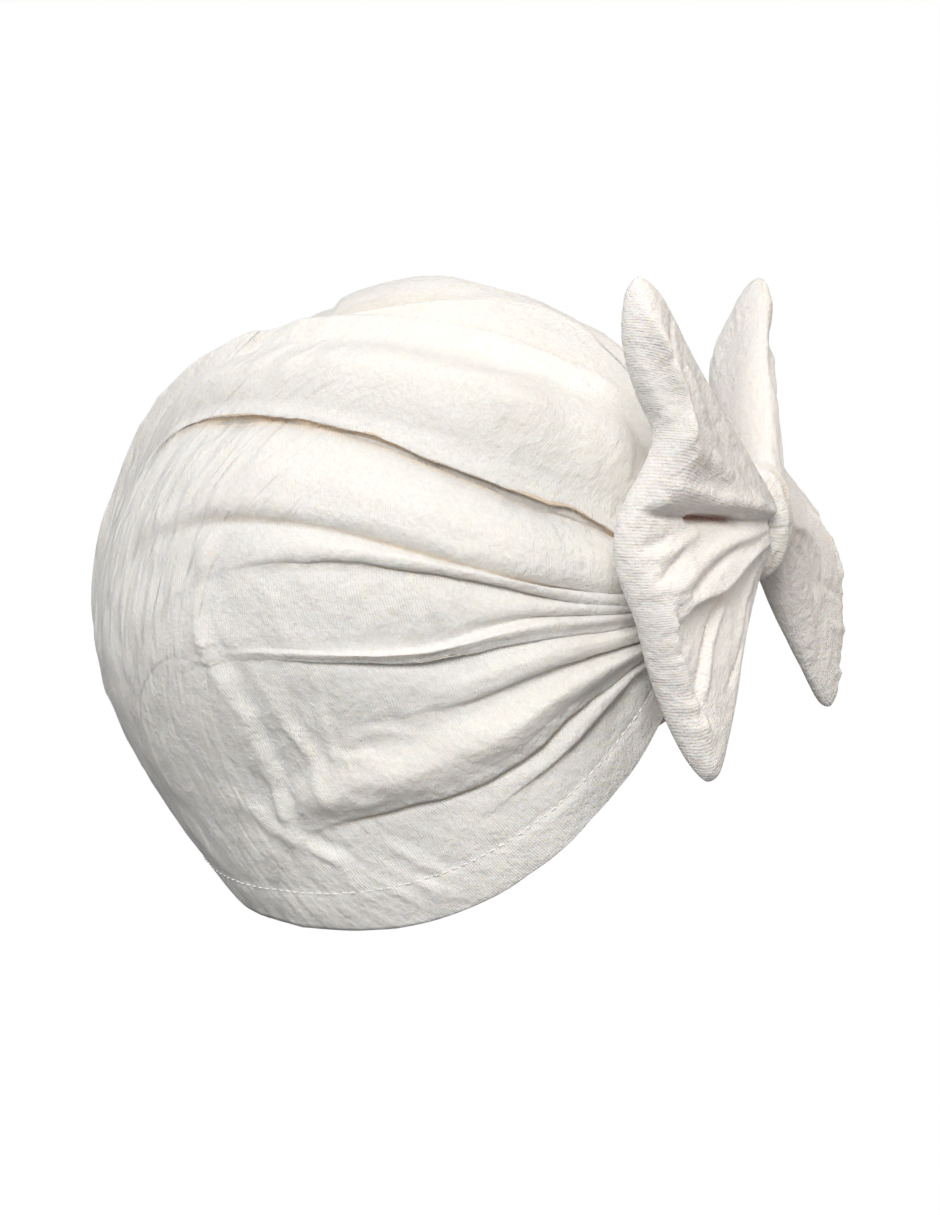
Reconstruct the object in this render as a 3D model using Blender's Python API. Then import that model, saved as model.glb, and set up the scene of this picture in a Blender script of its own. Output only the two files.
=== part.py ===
"""Baby turban hat of ivory cotton jersey, held up as a head holds it.

Z is up, the bow at the front faces -Y, and the wearer's right is -X. The origin is the centre
of the head opening. Sizes are in millimetres and angles in degrees unless a name says otherwise.
"""

import bpy
import numpy as np

MM = 0.001

# The cap's smooth form: distances from the head's middle, along a pole tilted toward the nape
POLE_TILT = 21.0
HEAD_MIDDLE_UP = 28.0
TOP_RADIUS = 104.0
# share of the way from the pole to the rim, then front, side and back radius
FORM_ROWS = (
    (0.30, 106.0, 96.5, 98.5),
    (0.55, 98.0, 77.5, 94.5),
    (0.80, 79.5, 66.0, 82.5),
)

# The rim: an egg-shaped plan in the tilted plane, and how far each point lies above that plane
RIM_FRONT = 71.0
RIM_BACK = 71.5
RIM_SIDE = 60.0
RIM_EGG = 0.06
# degrees from the front, height on the wearer's right, height on the wearer's left
RIM_ROWS = (
    (0, 15.0, 15.0),
    (30, -1.0, 2.0),
    (60, -16.5, -8.5),
    (90, -20.5, -18.5),
    (120, -15.0, -15.0),
    (150, -6.0, -6.0),
    (180, -0.5, -0.5),
)

# The folds fan out of the gather behind the bow, and their rays would meet inside the opening
GATHER_ANGLE = 84.0
MEETING_ANGLE = 160.0
GATHER_PUFF = 11.5
GATHER_PUFF_WIDTH = 17.0
GATHER_PUFF_CENTRE = (0.0, -59.0, 75.0)

# Where each fold's lip runs, in degrees round the gather (0 is up over the crown), and how high
# it stands, at each share of the way from the gather to the rim
STATIONS = (0.00, 0.15, 0.30, 0.45, 0.60, 0.75, 0.90, 1.00)
FOLDS = {
    # name: (degrees at the stations, heights at the stations, overhang share)
    "crest": ((5, 5, 6, 8, 5, 2, 2, 2), (0, 1.4, 1.8, 3.4, 0.4, 0.2, 0, 0), 0.3),
    "upper": ((24, 20, 20, 15, 9, 5, 5, 6), (0, 1.2, 1.6, 3.4, 6.0, 2.8, 0, 0), 0.3),
    "brow": ((66, 63, 52, 34, 17, 9, 10, 12), (0, 3.0, 4.0, 4.2, 3.4, 1.0, 0, 0), 0.55),
    "temple": ((88, 84, 73, 54, 31, 17, 18, 20), (0, 1.6, 2.0, 2.2, 2.4, 0.9, 0, 0), 0.4),
    "narrow": ((93, 89, 78, 59, 38, 26, 25, 28), (0, 1.2, 1.6, 2.0, 1.9, 0.7, 0, 0), 0.4),
    "short": ((98, 94, 82, 67, 53, 37, 33, 36), (0, 1.3, 1.6, 1.4, 0.7, 0, 0, 0), 0.3),
    "cheek": ((103, 99, 88, 74, 58, 44, 40, 43), (0, 0.6, 0.9, 1.5, 2.4, 0.8, 0, 0), 0.4),
    "ear": ((116, 114, 103, 84, 72, 57, 49, 52), (0, 2.0, 3.0, 2.8, 1.9, 0.4, 0, 0), 0.5),
    "jaw": ((126, 124, 117, 104, 97, 86, 62, 60), (0, 2.4, 3.4, 4.4, 4.8, 4.0, 1.2, 0), 0.45),
    "last": ((134, 131, 123, 112, 104, 96, 88, 86), (0, 1.4, 2.0, 2.2, 1.8, 0.8, 0, 0), 0.4),
}
LEFT_HEIGHT_SHARE = 0.9
VALLEY_SHARE = 0.3
# degrees that the folds on top swing toward the left at the stations, and how far round it fades
TOP_SWING = (0, 0, 0, 3, 7, 4, 0, 0)
TOP_SWING_FADE = 12.0

# Cloth thickness of the crown, and how much of each fold shows on its inside
CROWN_WALL = 1.6
INSIDE_FOLD_SHARE = 0.45
INSIDE_PUFF_SHARE = 0.75
EDGE_ROUNDING = 0.5

# Where the mesh lines run inside each panel, and the rings outside and inside
PANEL_LINES = (0.07, 0.42, 0.80, 1.00)
LAST_PANEL_LINES = (0.05, 0.15, 0.28, 0.42, 0.56, 0.70, 0.85, 1.00)
OUTER_RINGS = (0.05, 0.10, 0.15, 0.20, 0.25, 0.30, 0.35, 0.40, 0.45, 0.50, 0.55, 0.60, 0.65)
OUTER_RINGS += (0.70, 0.75, 0.80, 0.85, 0.90, 0.95, 1.00)
INNER_RINGS = (0.92, 0.83, 0.73, 0.63, 0.53, 0.43, 0.33, 0.23, 0.12)

# The hem, turned up inside the rim
HEM_DEPTH = 11.0
HEM_RINGS = (0.0, 3.5, 7.5, 11.0)
SMOOTH_DEPTH = 13.0
HEM_WALL = 1.0
LAYER_GAP = 0.3

# The bow's pinch, and its outer edges from the upper tip to the lower tip
PINCH_TOP = (0.4, -75.8, 87.5)
PINCH_BOTTOM = (0.4, -75.8, 64.5)
PINCH_SHARE = 0.13
# share of the height (1 upper tip, -1 lower tip), then x, y, z
RIGHT_EDGE = (
    (1.00, -58.0, -56.5, 151.5),
    (0.60, -60.0, -59.0, 126.0),
    (0.25, -54.0, -60.0, 105.0),
    (0.00, -58.0, -55.0, 84.0),
    (-0.30, -57.0, -59.0, 62.0),
    (-0.65, -52.0, -65.0, 40.0),
    (-1.00, -46.0, -75.0, 9.5),
)
LEFT_EDGE = (
    (1.00, 58.0, -64.0, 142.5),
    (0.60, 61.0, -56.0, 120.0),
    (0.25, 60.0, -55.0, 103.0),
    (0.00, 57.0, -65.0, 84.0),
    (-0.30, 55.0, -80.0, 62.0),
    (-0.65, 51.0, -86.0, 39.0),
    (-1.00, 46.0, -89.5, 10.0),
)
# share of the way from the pinch to the outer edge, then half of the padded thickness
WING_ROWS = (
    (0.00, 5.3),
    (0.13, 5.3),
    (0.22, 7.0),
    (0.40, 6.4),
    (0.65, 5.4),
    (0.86, 5.8),
    (0.96, 4.6),
    (1.00, 2.0),
)
WING_TURN = 0.36
WING_CREASE = 0.62
WING_CREASE_HEIGHT = 0.13
WING_SECTIONS = (0.0, 0.07, 0.13, 0.17, 0.22, 0.30, 0.40, 0.50, 0.60, 0.70, 0.79, 0.87, 0.93, 0.97, 1.0)
WING_POINTS = 17
TIP_ROUNDING = 4.5
TIP_THICKNESS = 0.2

# The strip round the bow's middle
KNOT_CENTRE = (0.0, -75.8, 76.0)
KNOT_DEPTH = 6.0
KNOT_HEIGHT = 12.2
KNOT_WALL = 2.8
KNOT_WIDTH = 14.0


def spline(x, knots, values, flat_start=False):
    """Natural cubic curve through values at knots. Values may hold one column for each x."""
    knots = np.asarray(knots, float)
    values = np.asarray(values, float)
    count = len(knots)
    steps = np.diff(knots)
    system = np.zeros((count, count))
    right = np.zeros(values.shape)
    system[0, 0] = system[-1, -1] = 1.0
    if flat_start:
        system[0, :2] = steps[0] / 3, steps[0] / 6
        right[0] = (values[1] - values[0]) / steps[0]
    for i in range(1, count - 1):
        system[i, i - 1 : i + 2] = steps[i - 1] / 6, (steps[i - 1] + steps[i]) / 3, steps[i] / 6
        right[i] = (values[i + 1] - values[i]) / steps[i] - (values[i] - values[i - 1]) / steps[i - 1]
    bend = np.linalg.solve(system, right.reshape(count, -1)).reshape(values.shape)
    x = np.clip(x, knots[0], knots[-1])
    j = np.clip(np.searchsorted(knots, x, side="right") - 1, 0, count - 2)
    a = (knots[j + 1] - x) / steps[j]
    b = (x - knots[j]) / steps[j]
    if values.ndim > 1:
        where = tuple(np.indices(x.shape))
        low, high = (j,) + where, (j + 1,) + where
    else:
        low, high = j, j + 1
    curve = (a**3 - a) * bend[low] + (b**3 - b) * bend[high]
    return a * values[low] + b * values[high] + curve * steps[j] ** 2 / 6


def step_between(low, high, x):
    """0 below low, 1 above high and a smooth rise between."""
    s = np.clip((x - low) / (high - low), 0, 1)
    return s * s * (3 - 2 * s)


TILT = np.radians(POLE_TILT)
POLE = np.array([0.0, np.sin(TILT), np.cos(TILT)])
AHEAD = np.array([0.0, -np.cos(TILT), np.sin(TILT)])
RIGHTWARD = np.array([-1.0, 0.0, 0.0])
HEAD_MIDDLE = HEAD_MIDDLE_UP * POLE


def direction(polar, azimuth):
    """Unit vectors at an angle from the pole and an angle from the front toward the right."""
    flat = np.cos(azimuth)[..., None] * AHEAD + np.sin(azimuth)[..., None] * RIGHTWARD
    return np.cos(polar)[..., None] * POLE + np.sin(polar)[..., None] * flat


def oval(azimuth, front, side, back):
    """Radius of an oval whose front and back halves differ."""
    long_axis = np.where(np.cos(azimuth) > 0, front, back)
    return 1 / np.sqrt((np.cos(azimuth) / long_axis) ** 2 + (np.sin(azimuth) / side) ** 2)


def rim_height(azimuth):
    """Height of the rim over the tilted plane, from the row on each side of the head."""
    rows = np.array(RIM_ROWS, float)
    turns = np.concatenate([-rows[:0:-1, 0], rows[:, 0]])
    heights = np.concatenate([rows[:0:-1, 2], rows[:, 1]])
    turns = np.concatenate([[-210], turns, [210]])
    heights = np.concatenate([rows[-2:-1, 1], heights, rows[-2:-1, 2]])
    degrees = np.degrees(np.arctan2(np.sin(azimuth), np.cos(azimuth)))
    return spline(degrees, turns, heights)


def rim_table():
    """(azimuth, polar angle, radius) of the rim about the head's middle, in radians and mm."""
    around = np.radians(np.linspace(-200, 200, 801))
    across = RIM_SIDE * np.sin(around) * (1 - RIM_EGG * np.cos(around))
    along = np.where(np.cos(around) > 0, RIM_FRONT, RIM_BACK) * np.cos(around)
    turn = np.unwrap(np.arctan2(across, along))
    turn -= 2 * np.pi * np.round((turn - around).mean() / (2 * np.pi))
    azimuth = np.radians(np.linspace(-180, 180, 361))
    reach = np.interp(azimuth, turn, np.hypot(across, along))
    below = rim_height(azimuth) - HEAD_MIDDLE_UP
    return azimuth, np.arctan2(reach, below), np.hypot(reach, below)


RIM_AZIMUTH, RIM_POLAR, RIM_RADIUS = rim_table()


def at_rim(azimuth, column):
    """One column of the rim's table at any azimuth."""
    return np.interp(np.arctan2(np.sin(azimuth), np.cos(azimuth)), RIM_AZIMUTH, column)


def form_radius(polar, azimuth):
    """Distance of the smooth cap from the head's middle."""
    shares = [0.0] + [row[0] for row in FORM_ROWS] + [1.0]
    radii = [np.full(azimuth.shape, TOP_RADIUS)]
    radii += [oval(azimuth, *row[1:]) for row in FORM_ROWS]
    radii += [at_rim(azimuth, RIM_RADIUS)]
    share = np.clip(polar / at_rim(azimuth, RIM_POLAR), 0, 1)
    return spline(share, shares, np.stack(radii), flat_start=True)


def on_form(rays):
    """Points of the smooth cap along unit vectors from the head's middle."""
    polar = np.arccos(np.clip(rays @ POLE, -1, 1))
    azimuth = np.arctan2(rays @ RIGHTWARD, rays @ AHEAD)
    return HEAD_MIDDLE + form_radius(polar, azimuth)[..., None] * rays


MEETING = direction(np.radians(MEETING_ANGLE), np.array(np.pi))
SIDEWAYS = RIGHTWARD
UPWARD = np.cross(SIDEWAYS, MEETING)


def flatten(rays):
    """Flat map of directions as seen from the meeting point: rays through it become lines."""
    return np.stack([rays @ UPWARD, rays @ SIDEWAYS], -1) / (1 - rays @ MEETING)[..., None]


def unflatten(spots):
    """The directions that flatten takes to these spots."""
    size = (spots**2).sum(-1)
    flat = 2 * spots[..., :1] * UPWARD + 2 * spots[..., 1:] * SIDEWAYS
    return (flat + (size - 1)[..., None] * MEETING) / (size + 1)[..., None]


def fan_table():
    """The gather's spot on the flat map, the sense of up there, and the rim's reach by angle."""
    gather = np.radians(GATHER_ANGLE)
    spot = flatten(direction(gather, np.array(0.0)))
    up = flatten(direction(gather - 0.05, np.array(0.0)))[0] - spot[0]
    rim = flatten(direction(RIM_POLAR, RIM_AZIMUTH)) - spot
    angle = np.unwrap(np.arctan2(rim[:, 1], rim[:, 0] * np.sign(up)))
    order = np.argsort(angle)
    return spot, np.sign(up), angle[order], np.hypot(rim[:, 0], rim[:, 1])[order]


FAN_SPOT, FAN_UP, FAN_ANGLE, FAN_REACH = fan_table()


def fan_rays(angle, share):
    """Directions at an angle round the gather and a share of the way from it to the rim."""
    turn = (angle - FAN_ANGLE[0]) % (2 * np.pi) + FAN_ANGLE[0]
    full = np.append(FAN_ANGLE, FAN_ANGLE[0] + 2 * np.pi)
    reach = np.interp(turn, full, np.append(FAN_REACH, FAN_REACH[0]))
    far = np.tan(share * np.arctan(reach))
    step = np.stack([FAN_UP * far * np.cos(angle), far * np.sin(angle)], -1)
    return unflatten(FAN_SPOT + step)


def fold_columns(share):
    """Lip angle and lip height of every fold at each share, with the crown's middle as fold 0
    and the line below the gather as the last one."""
    angles = [np.zeros(share.shape)]
    heights = [np.zeros(share.shape)]
    for degrees, lifts, _ in FOLDS.values():
        angles.append(spline(share, STATIONS, degrees))
        heights.append(np.interp(share, STATIONS, lifts))
    angles.append(np.full(share.shape, 180.0))
    heights.append(np.zeros(share.shape))
    return np.radians(np.stack(angles)), np.stack(heights)


def pick(table, index):
    """One entry of each column of a stacked table."""
    return np.take_along_axis(table, index[None], 0)[0]


def crown_surface(panel, share, side):
    """Outer points, the inner side's lift and the rays. Panel counts folds down from the crown
    and side is 1 on the wearer's right.

    Each panel starts in the valley under the fold above, rises to the crest of its own fold and
    rolls over that fold's lip, which hangs over the next valley.
    """
    angles, heights = fold_columns(share)
    upper = np.clip(np.ceil(panel).astype(int) - 1, 0, len(FOLDS))
    inside = panel - upper
    above, below = pick(heights, upper), pick(heights, upper + 1)
    hang = np.array([0.0] + [row[2] for row in FOLDS.values()] + [0.0])
    rise = np.where(upper == 0, 1.0, step_between(0.25, 0.80, inside))
    roll = 1 - 0.5 * step_between(0.86, 1.0, inside)
    valley = VALLEY_SHARE * np.exp(-((inside / 0.16) ** 2))
    lift = below * rise * roll - above * valley
    lift *= np.where(side > 0, 1.0, LEFT_HEIGHT_SHARE)
    shift = hang[upper + 1] * below * step_between(0.70, 1.0, inside)
    shift -= 0.25 * hang[upper] * above * np.exp(-((inside / 0.10) ** 2))
    angle = pick(angles, upper) * (1 - inside) + pick(angles, upper + 1) * inside
    swing = np.radians(np.interp(share, STATIONS, TOP_SWING))
    angle = angle - side * swing * np.exp(-((angle / np.radians(TOP_SWING_FADE)) ** 2))
    rays = fan_rays(side * angle, share)
    points = on_form(rays)
    tangent = on_form(fan_rays(side * (angle + 0.01), share)) - points
    length = np.linalg.norm(tangent, axis=-1)[..., None]
    tangent = tangent / np.maximum(length, 1e-6)
    away = np.linalg.norm(points - np.array(GATHER_PUFF_CENTRE), axis=-1)
    puff = GATHER_PUFF * np.exp(-((away / GATHER_PUFF_WIDTH) ** 2))
    inside_lift = INSIDE_FOLD_SHARE * lift + INSIDE_PUFF_SHARE * puff
    return points + (lift + puff)[..., None] * rays + shift[..., None] * tangent, inside_lift, rays


def panel_lines():
    """(panel, side) of every mesh line, once round the gather from the crown's middle."""
    right = [k + part for k in range(len(FOLDS)) for part in PANEL_LINES]
    right += [len(FOLDS) + part for part in LAST_PANEL_LINES]
    panels = [1e-6] + right + right[-2::-1]
    sides = [1] * (len(right) + 1) + [-1] * (len(right) - 1)
    return np.array(panels), np.array(sides)


def loft(rings, start, end):
    """Vertices and faces of a closed body: rings of equal length between two end points."""
    count = rings.shape[1]
    vertices = np.concatenate([[start], rings.reshape(-1, 3), [end]])
    last = len(vertices) - 1
    faces = [(0, 1 + i, 1 + (i + 1) % count) for i in range(count)]
    for r in range(len(rings) - 1):
        for i in range(count):
            a, b = 1 + r * count + i, 1 + r * count + (i + 1) % count
            faces += [(a, a + count, b + count), (a, b + count, b)]
    base = 1 + (len(rings) - 1) * count
    faces += [(base + i, last, base + (i + 1) % count) for i in range(count)]
    return vertices, faces


def ring_loft(rings):
    """Vertices and faces of a closed tube: the last ring joins the first."""
    turns, count = rings.shape[:2]
    faces = []
    for r in range(turns):
        below = (r + 1) % turns
        for i in range(count):
            j = (i + 1) % count
            a, b, c, d = r * count + i, below * count + i, below * count + j, r * count + j
            faces += [(a, b, c), (a, c, d)]
    return rings.reshape(-1, 3), faces


def strip_loft(rings):
    """Vertices and faces of a closed body whose end rings close as flat strips."""
    turns, count = rings.shape[:2]
    half = count // 2
    faces = []
    for r in range(turns - 1):
        for i in range(count):
            j = (i + 1) % count
            faces.append((r * count + i, (r + 1) * count + i, (r + 1) * count + j, r * count + j))
    for base, flip in ((0, False), ((turns - 1) * count, True)):
        for i in range(half - 1):
            face = (base + i, base + i + 1, base + count - 2 - i, base + count - 1 - i)
            faces.append(face[::-1] if flip else face)
    return rings.reshape(-1, 3), faces


def add_body(name, vertices, faces, material, collection):
    """An object from vertices in millimetres, its faces turned outward."""
    mesh = bpy.data.meshes.new(name)
    vertices = np.asarray(vertices, float)
    corners = vertices[[face[0] for face in faces]]
    second = vertices[[face[1] for face in faces]]
    third = vertices[[face[2] for face in faces]]
    if np.einsum("ij,ij->", corners, np.cross(second, third)) < 0:
        faces = [face[::-1] for face in faces]
    mesh.from_pydata((vertices * MM).tolist(), [], [tuple(map(int, face)) for face in faces])
    mesh.materials.append(material)
    mesh.shade_smooth()
    body = bpy.data.objects.new(name, mesh)
    collection.objects.link(body)
    return body


def cloth(name, colour, roughness):
    """A matt cotton material."""
    material = bpy.data.materials.new(name)
    material.use_nodes = True
    shader = material.node_tree.nodes["Principled BSDF"]
    shader.inputs["Base Color"].default_value = (*colour, 1.0)
    shader.inputs["Roughness"].default_value = roughness
    shader.inputs["Metallic"].default_value = 0.0
    material.diffuse_color = (*colour, 1.0)
    return material


def around(rays):
    """Angle from the pole and angle from the front of unit vectors from the head's middle."""
    return np.arccos(np.clip(rays @ POLE, -1, 1)), np.arctan2(rays @ RIGHTWARD, rays @ AHEAD)


def share_at(depth, panels, sides):
    """For each mesh line, the share of its way at which it is this far above the rim."""
    shares = np.linspace(0, 1, 161)
    rays = crown_surface(panels[None] + 0 * shares[:, None], shares[:, None] + 0 * panels, sides)[2]
    polar, azimuth = around(rays)
    above = (at_rim(azimuth, RIM_POLAR) - polar) * at_rim(azimuth, RIM_RADIUS)
    return np.array([np.interp(-depth, -above[:, i], shares) for i in range(len(panels))])


def make_crown(collection):
    """The pleated shell, outside and inside, closed by a rounded edge along the rim."""
    panels, sides = panel_lines()
    rings = []
    for share in OUTER_RINGS:
        points, _, rays = crown_surface(panels, np.full(panels.shape, share), sides)
        rings.append(points)
    polar, azimuth = around(rays)
    outward = direction(polar + np.pi / 2, azimuth)
    rings.append(on_form(rays) - 0.5 * CROWN_WALL * rays + EDGE_ROUNDING * outward)
    for depth in HEM_RINGS:
        rays = crown_surface(panels, share_at(depth, panels, sides), sides)[2]
        rings.append(on_form(rays) - CROWN_WALL * rays)
    last_smooth = share_at(SMOOTH_DEPTH, panels, sides)
    for part in INNER_RINGS:
        _, lift, rays = crown_surface(panels, part * last_smooth, sides)
        lift = lift * (1 - step_between(0.8, 1.0, part))
        rings.append(on_form(rays) - (CROWN_WALL - lift)[:, None] * rays)
    centre = np.zeros(1)
    pole, lift, rays = crown_surface(centre + 1e-6, centre, centre + 1)
    inner = on_form(rays) - (CROWN_WALL - lift)[:, None] * rays
    vertices, faces = loft(np.array(rings), pole[0], inner[0])
    colour = cloth("ivory_jersey_crown", (0.83, 0.78, 0.71), 0.92)
    return add_body("crown", vertices, faces, colour, collection)


def make_hem(collection):
    """The hem's turned-up layer: a closed band just inside the crown's edge."""
    panels, sides = panel_lines()
    outer = CROWN_WALL + LAYER_GAP
    rays = [crown_surface(panels, share_at(depth, panels, sides), sides)[2] for depth in HEM_RINGS]
    rings = [on_form(ray) - outer * ray for ray in rays]
    rings += [on_form(ray) - (outer + HEM_WALL) * ray for ray in rays[::-1]]
    vertices, faces = ring_loft(np.array(rings))
    colour = cloth("ivory_jersey_hem", (0.80, 0.75, 0.68), 0.92)
    return add_body("rim_hem", vertices, faces, colour, collection)


def wing_rings(edge_rows, side):
    """Sections of one padded wing, from the pinch to its outer edge."""
    rows = np.array(edge_rows[::-1], float)
    half = np.linspace(-1, 1, WING_POINTS)
    height = np.sin(half * np.pi / 2) * 0.6 + half * 0.4
    edge = np.stack([spline(height, rows[:, 0], rows[:, 1 + k]) for k in range(3)], -1)
    top = np.array([side * PINCH_TOP[0], *PINCH_TOP[1:]])
    bottom = np.array([side * PINCH_BOTTOM[0], *PINCH_BOTTOM[1:]])
    pinch = bottom + (top - bottom) * (0.5 + 0.5 * height)[:, None]
    table = np.array(WING_ROWS)
    rings = []
    for out in WING_SECTIONS:
        padded = np.interp(out, table[:, 0], table[:, 1])
        flare = np.clip((out - PINCH_SHARE) / (1 - PINCH_SHARE), 0, 1)
        reach = 1 - TIP_ROUNDING / 70 * step_between(0.75, 1.0, out) * np.abs(height) ** 9
        spread = np.array([out, flare, flare]) * reach[:, None]
        forward = np.array([side * WING_TURN * step_between(0.0, 0.5, flare), -1.0, 0.06])
        forward /= np.linalg.norm(forward)
        narrow = 1 - step_between(0.85, 1.0, out) * TIP_ROUNDING / 60
        centre = pinch + (edge - pinch) * spread
        middle = centre.mean(axis=0)
        centre = middle + (centre - middle) * narrow
        power = 2 + 3 * step_between(0.0, 0.5, flare)
        round_off = np.sqrt(np.clip(1 - np.abs(height) ** power, 0, 1))
        round_off = TIP_THICKNESS + (1 - TIP_THICKNESS) * round_off
        crease = np.exp(-((height / WING_CREASE_HEIGHT) ** 2)) * step_between(0.0, 0.15, out)
        crease = WING_CREASE * crease * (1 - step_between(0.55, 0.9, out))
        front = centre + (padded * round_off * (1 - crease))[:, None] * forward
        back = centre - (padded * round_off * (1 - 0.4 * crease))[:, None] * forward
        rings.append(np.concatenate([front, back[::-1]]))
    return np.array(rings)


def make_wing(name, edge_rows, side, collection):
    """One half of the bow: a padded double layer flaring from the pinch."""
    vertices, faces = strip_loft(wing_rings(edge_rows, side))
    colour = cloth("ivory_jersey_" + name, (0.84, 0.80, 0.74), 0.92)
    return add_body(name, vertices, faces, colour, collection)


def make_knot(collection):
    """The strip wrapped round the bow's middle: a rounded band bent into an upright oval."""
    turn = np.linspace(0, 2 * np.pi, 28, endpoint=False)
    across = np.array([-1, -0.92, -0.5, 0, 0.5, 0.92, 1, 0.92, 0.5, 0, -0.5, -0.92])
    layer = np.array([0.5, 0.92, 1, 0.9, 1, 0.92, 0.5, 0.08, 0, 0, 0, 0.08])
    rings = []
    for x, depth in zip(across, layer):
        ahead = (KNOT_DEPTH + KNOT_WALL * depth) * np.cos(turn)
        up = (KNOT_HEIGHT + KNOT_WALL * depth) * np.sin(turn)
        side = np.full(turn.shape, KNOT_CENTRE[0] + x * KNOT_WIDTH / 2)
        rings.append(np.stack([side, KNOT_CENTRE[1] - ahead, KNOT_CENTRE[2] + up], -1))
    vertices, faces = ring_loft(np.array(rings))
    colour = cloth("ivory_jersey_knot", (0.82, 0.78, 0.72), 0.92)
    return add_body("bow_knot", vertices, faces, colour, collection)


def main():
    for old in list(bpy.data.objects):
        bpy.data.objects.remove(old)
    collection = bpy.data.collections.new("turban_hat")
    bpy.context.scene.collection.children.link(collection)
    make_crown(collection)
    make_hem(collection)
    make_wing("bow_wing_right", RIGHT_EDGE, -1, collection)
    make_wing("bow_wing_left", LEFT_EDGE, 1, collection)
    make_knot(collection)


main()
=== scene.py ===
"""Looks of the baby turban hat: ivory cotton jersey pleated round the head, with a padded bow.

Sizes are in millimetres and angles in degrees unless a name says otherwise. Z is up, the bow
faces -Y and the wearer's right is -X. The origin is the centre of the head opening.
"""

import bpy
import numpy as np
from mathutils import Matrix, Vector


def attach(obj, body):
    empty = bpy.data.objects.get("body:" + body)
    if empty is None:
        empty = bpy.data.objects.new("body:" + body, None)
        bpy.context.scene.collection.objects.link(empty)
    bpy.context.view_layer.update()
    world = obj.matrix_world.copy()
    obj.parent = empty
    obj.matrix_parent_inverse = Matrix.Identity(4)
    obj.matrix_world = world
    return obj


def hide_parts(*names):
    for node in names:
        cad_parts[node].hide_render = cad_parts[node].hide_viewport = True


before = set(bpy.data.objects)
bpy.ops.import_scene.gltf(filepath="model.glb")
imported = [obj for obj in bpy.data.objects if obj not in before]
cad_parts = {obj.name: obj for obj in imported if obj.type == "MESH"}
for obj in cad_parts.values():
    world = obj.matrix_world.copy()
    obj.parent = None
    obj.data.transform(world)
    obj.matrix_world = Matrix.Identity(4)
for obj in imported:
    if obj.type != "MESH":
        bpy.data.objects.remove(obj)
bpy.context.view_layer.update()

MM = 0.001

# The photograph's view: where the camera looks, from which side, and through which lens
LOOK_AT = (0.0, 1.05, 48.85)
VIEW_ROUND = 72.0
VIEW_UP = 11.0
VIEW_DISTANCE = 750.0
LENS = 83.85

# The cap's smooth form: distances from the head's middle, along a pole tilted toward the nape
POLE_TILT = 21.0
HEAD_MIDDLE_UP = 28.0
TOP_RADIUS = 104.0
# share of the way from the pole to the rim, then front, side and back radius
FORM_ROWS = (
    (0.30, 106.0, 96.5, 98.5),
    (0.55, 98.0, 77.5, 94.5),
    (0.80, 79.5, 66.0, 82.5),
)

# The rim: an egg-shaped plan in the tilted plane, and how far each point lies above that plane
RIM_FRONT = 71.0
RIM_BACK = 71.5
RIM_SIDE = 60.0
RIM_EGG = 0.06
# degrees from the front, height on the wearer's right, height on the wearer's left
RIM_ROWS = (
    (0, 15.0, 15.0),
    (30, -1.0, 2.0),
    (60, -16.5, -8.5),
    (90, -20.5, -18.5),
    (120, -15.0, -15.0),
    (150, -6.0, -6.0),
    (180, -0.5, -0.5),
)

# The folds fan out of the gather behind the bow, and their rays would meet inside the opening
GATHER_ANGLE = 84.0
MEETING_ANGLE = 160.0
GATHER_PUFF = 11.5
GATHER_PUFF_WIDTH = 17.0
GATHER_PUFF_CENTRE = (0.0, -59.0, 75.0)

# Where each fold's lip runs, in degrees round the gather (0 is up over the crown), and how high
# it stands, at each share of the way from the gather to the rim
STATIONS = (0.00, 0.15, 0.30, 0.45, 0.60, 0.75, 0.90, 1.00)
FOLDS = {
    # name: (degrees at the stations, heights at the stations, overhang, share that rolls over,
    # mesh lines over its panel)
    "crest": ((1, 1, 1, 11.8, 9.5, 4, 3, 3), (0, 0.8, 1.4, 2.8, 2.2, 0.8, 0, 0), 0.4, 0.15, 6),
    "upper": ((8, 4, 16.2, 15.2, 11.3, 7, 6, 7), (0, 0.8, 2.4, 4.2, 6.4, 3.4, 0, 0), 0.6, 0.20, 8),
    "brow": ((66, 62, 51.5, 35.5, 17.3, 10, 10, 12), (0, 3.8, 6.8, 7.8, 5.4, 3, 0, 0), 0.55, 0.38, 26),
    "temple": ((88, 83.5, 72.3, 54.2, 31.1, 17, 18, 20), (0, 2.2, 3.0, 3.3, 3.2, 2.0, 0, 0), 0.5, 0.22, 28),
    "narrow": ((93, 88, 77, 56.6, 37.2, 25, 24, 28), (0, 1.8, 2.5, 2.8, 2.2, 1.0, 0, 0), 0.5, 0.15, 10),
    "short": ((98, 92.5, 80, 64.6, 52.8, 28, 27, 32), (0, 1.8, 2.1, 1.7, 0.6, 0, 0, 0), 0.3, 0.15, 10),
    "cheek": ((103, 97, 86, 70.5, 56.3, 31, 31, 37), (0, 1.4, 2.2, 2.7, 2.8, 1.6, 0, 0), 0.4, 0.35, 14),
    "ear": ((116, 110.5, 94.8, 79.4, 69.7, 52, 42, 46), (0, 2.5, 3.5, 3.1, 1.6, 0.4, 0, 0), 0.5, 0.20, 24),
    "jaw": ((126, 121, 106, 94.4, 91.2, 81.5, 54, 52), (0, 2.6, 3.8, 4.8, 5.0, 4.4, 2.0, 0), 0.5, 0.34, 36),
    "last": ((134, 128.5, 113.5, 100.8, 98.8, 93, 87, 86), (0, 1.4, 2.0, 2.2, 1.8, 0.5, 0, 0), 0.4, 0.20, 14),
}
# The folds whose lip faces up to the crown on the wearer's right, where the lower panel lies on top
FACING_UP = ("crest", "upper")
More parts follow.
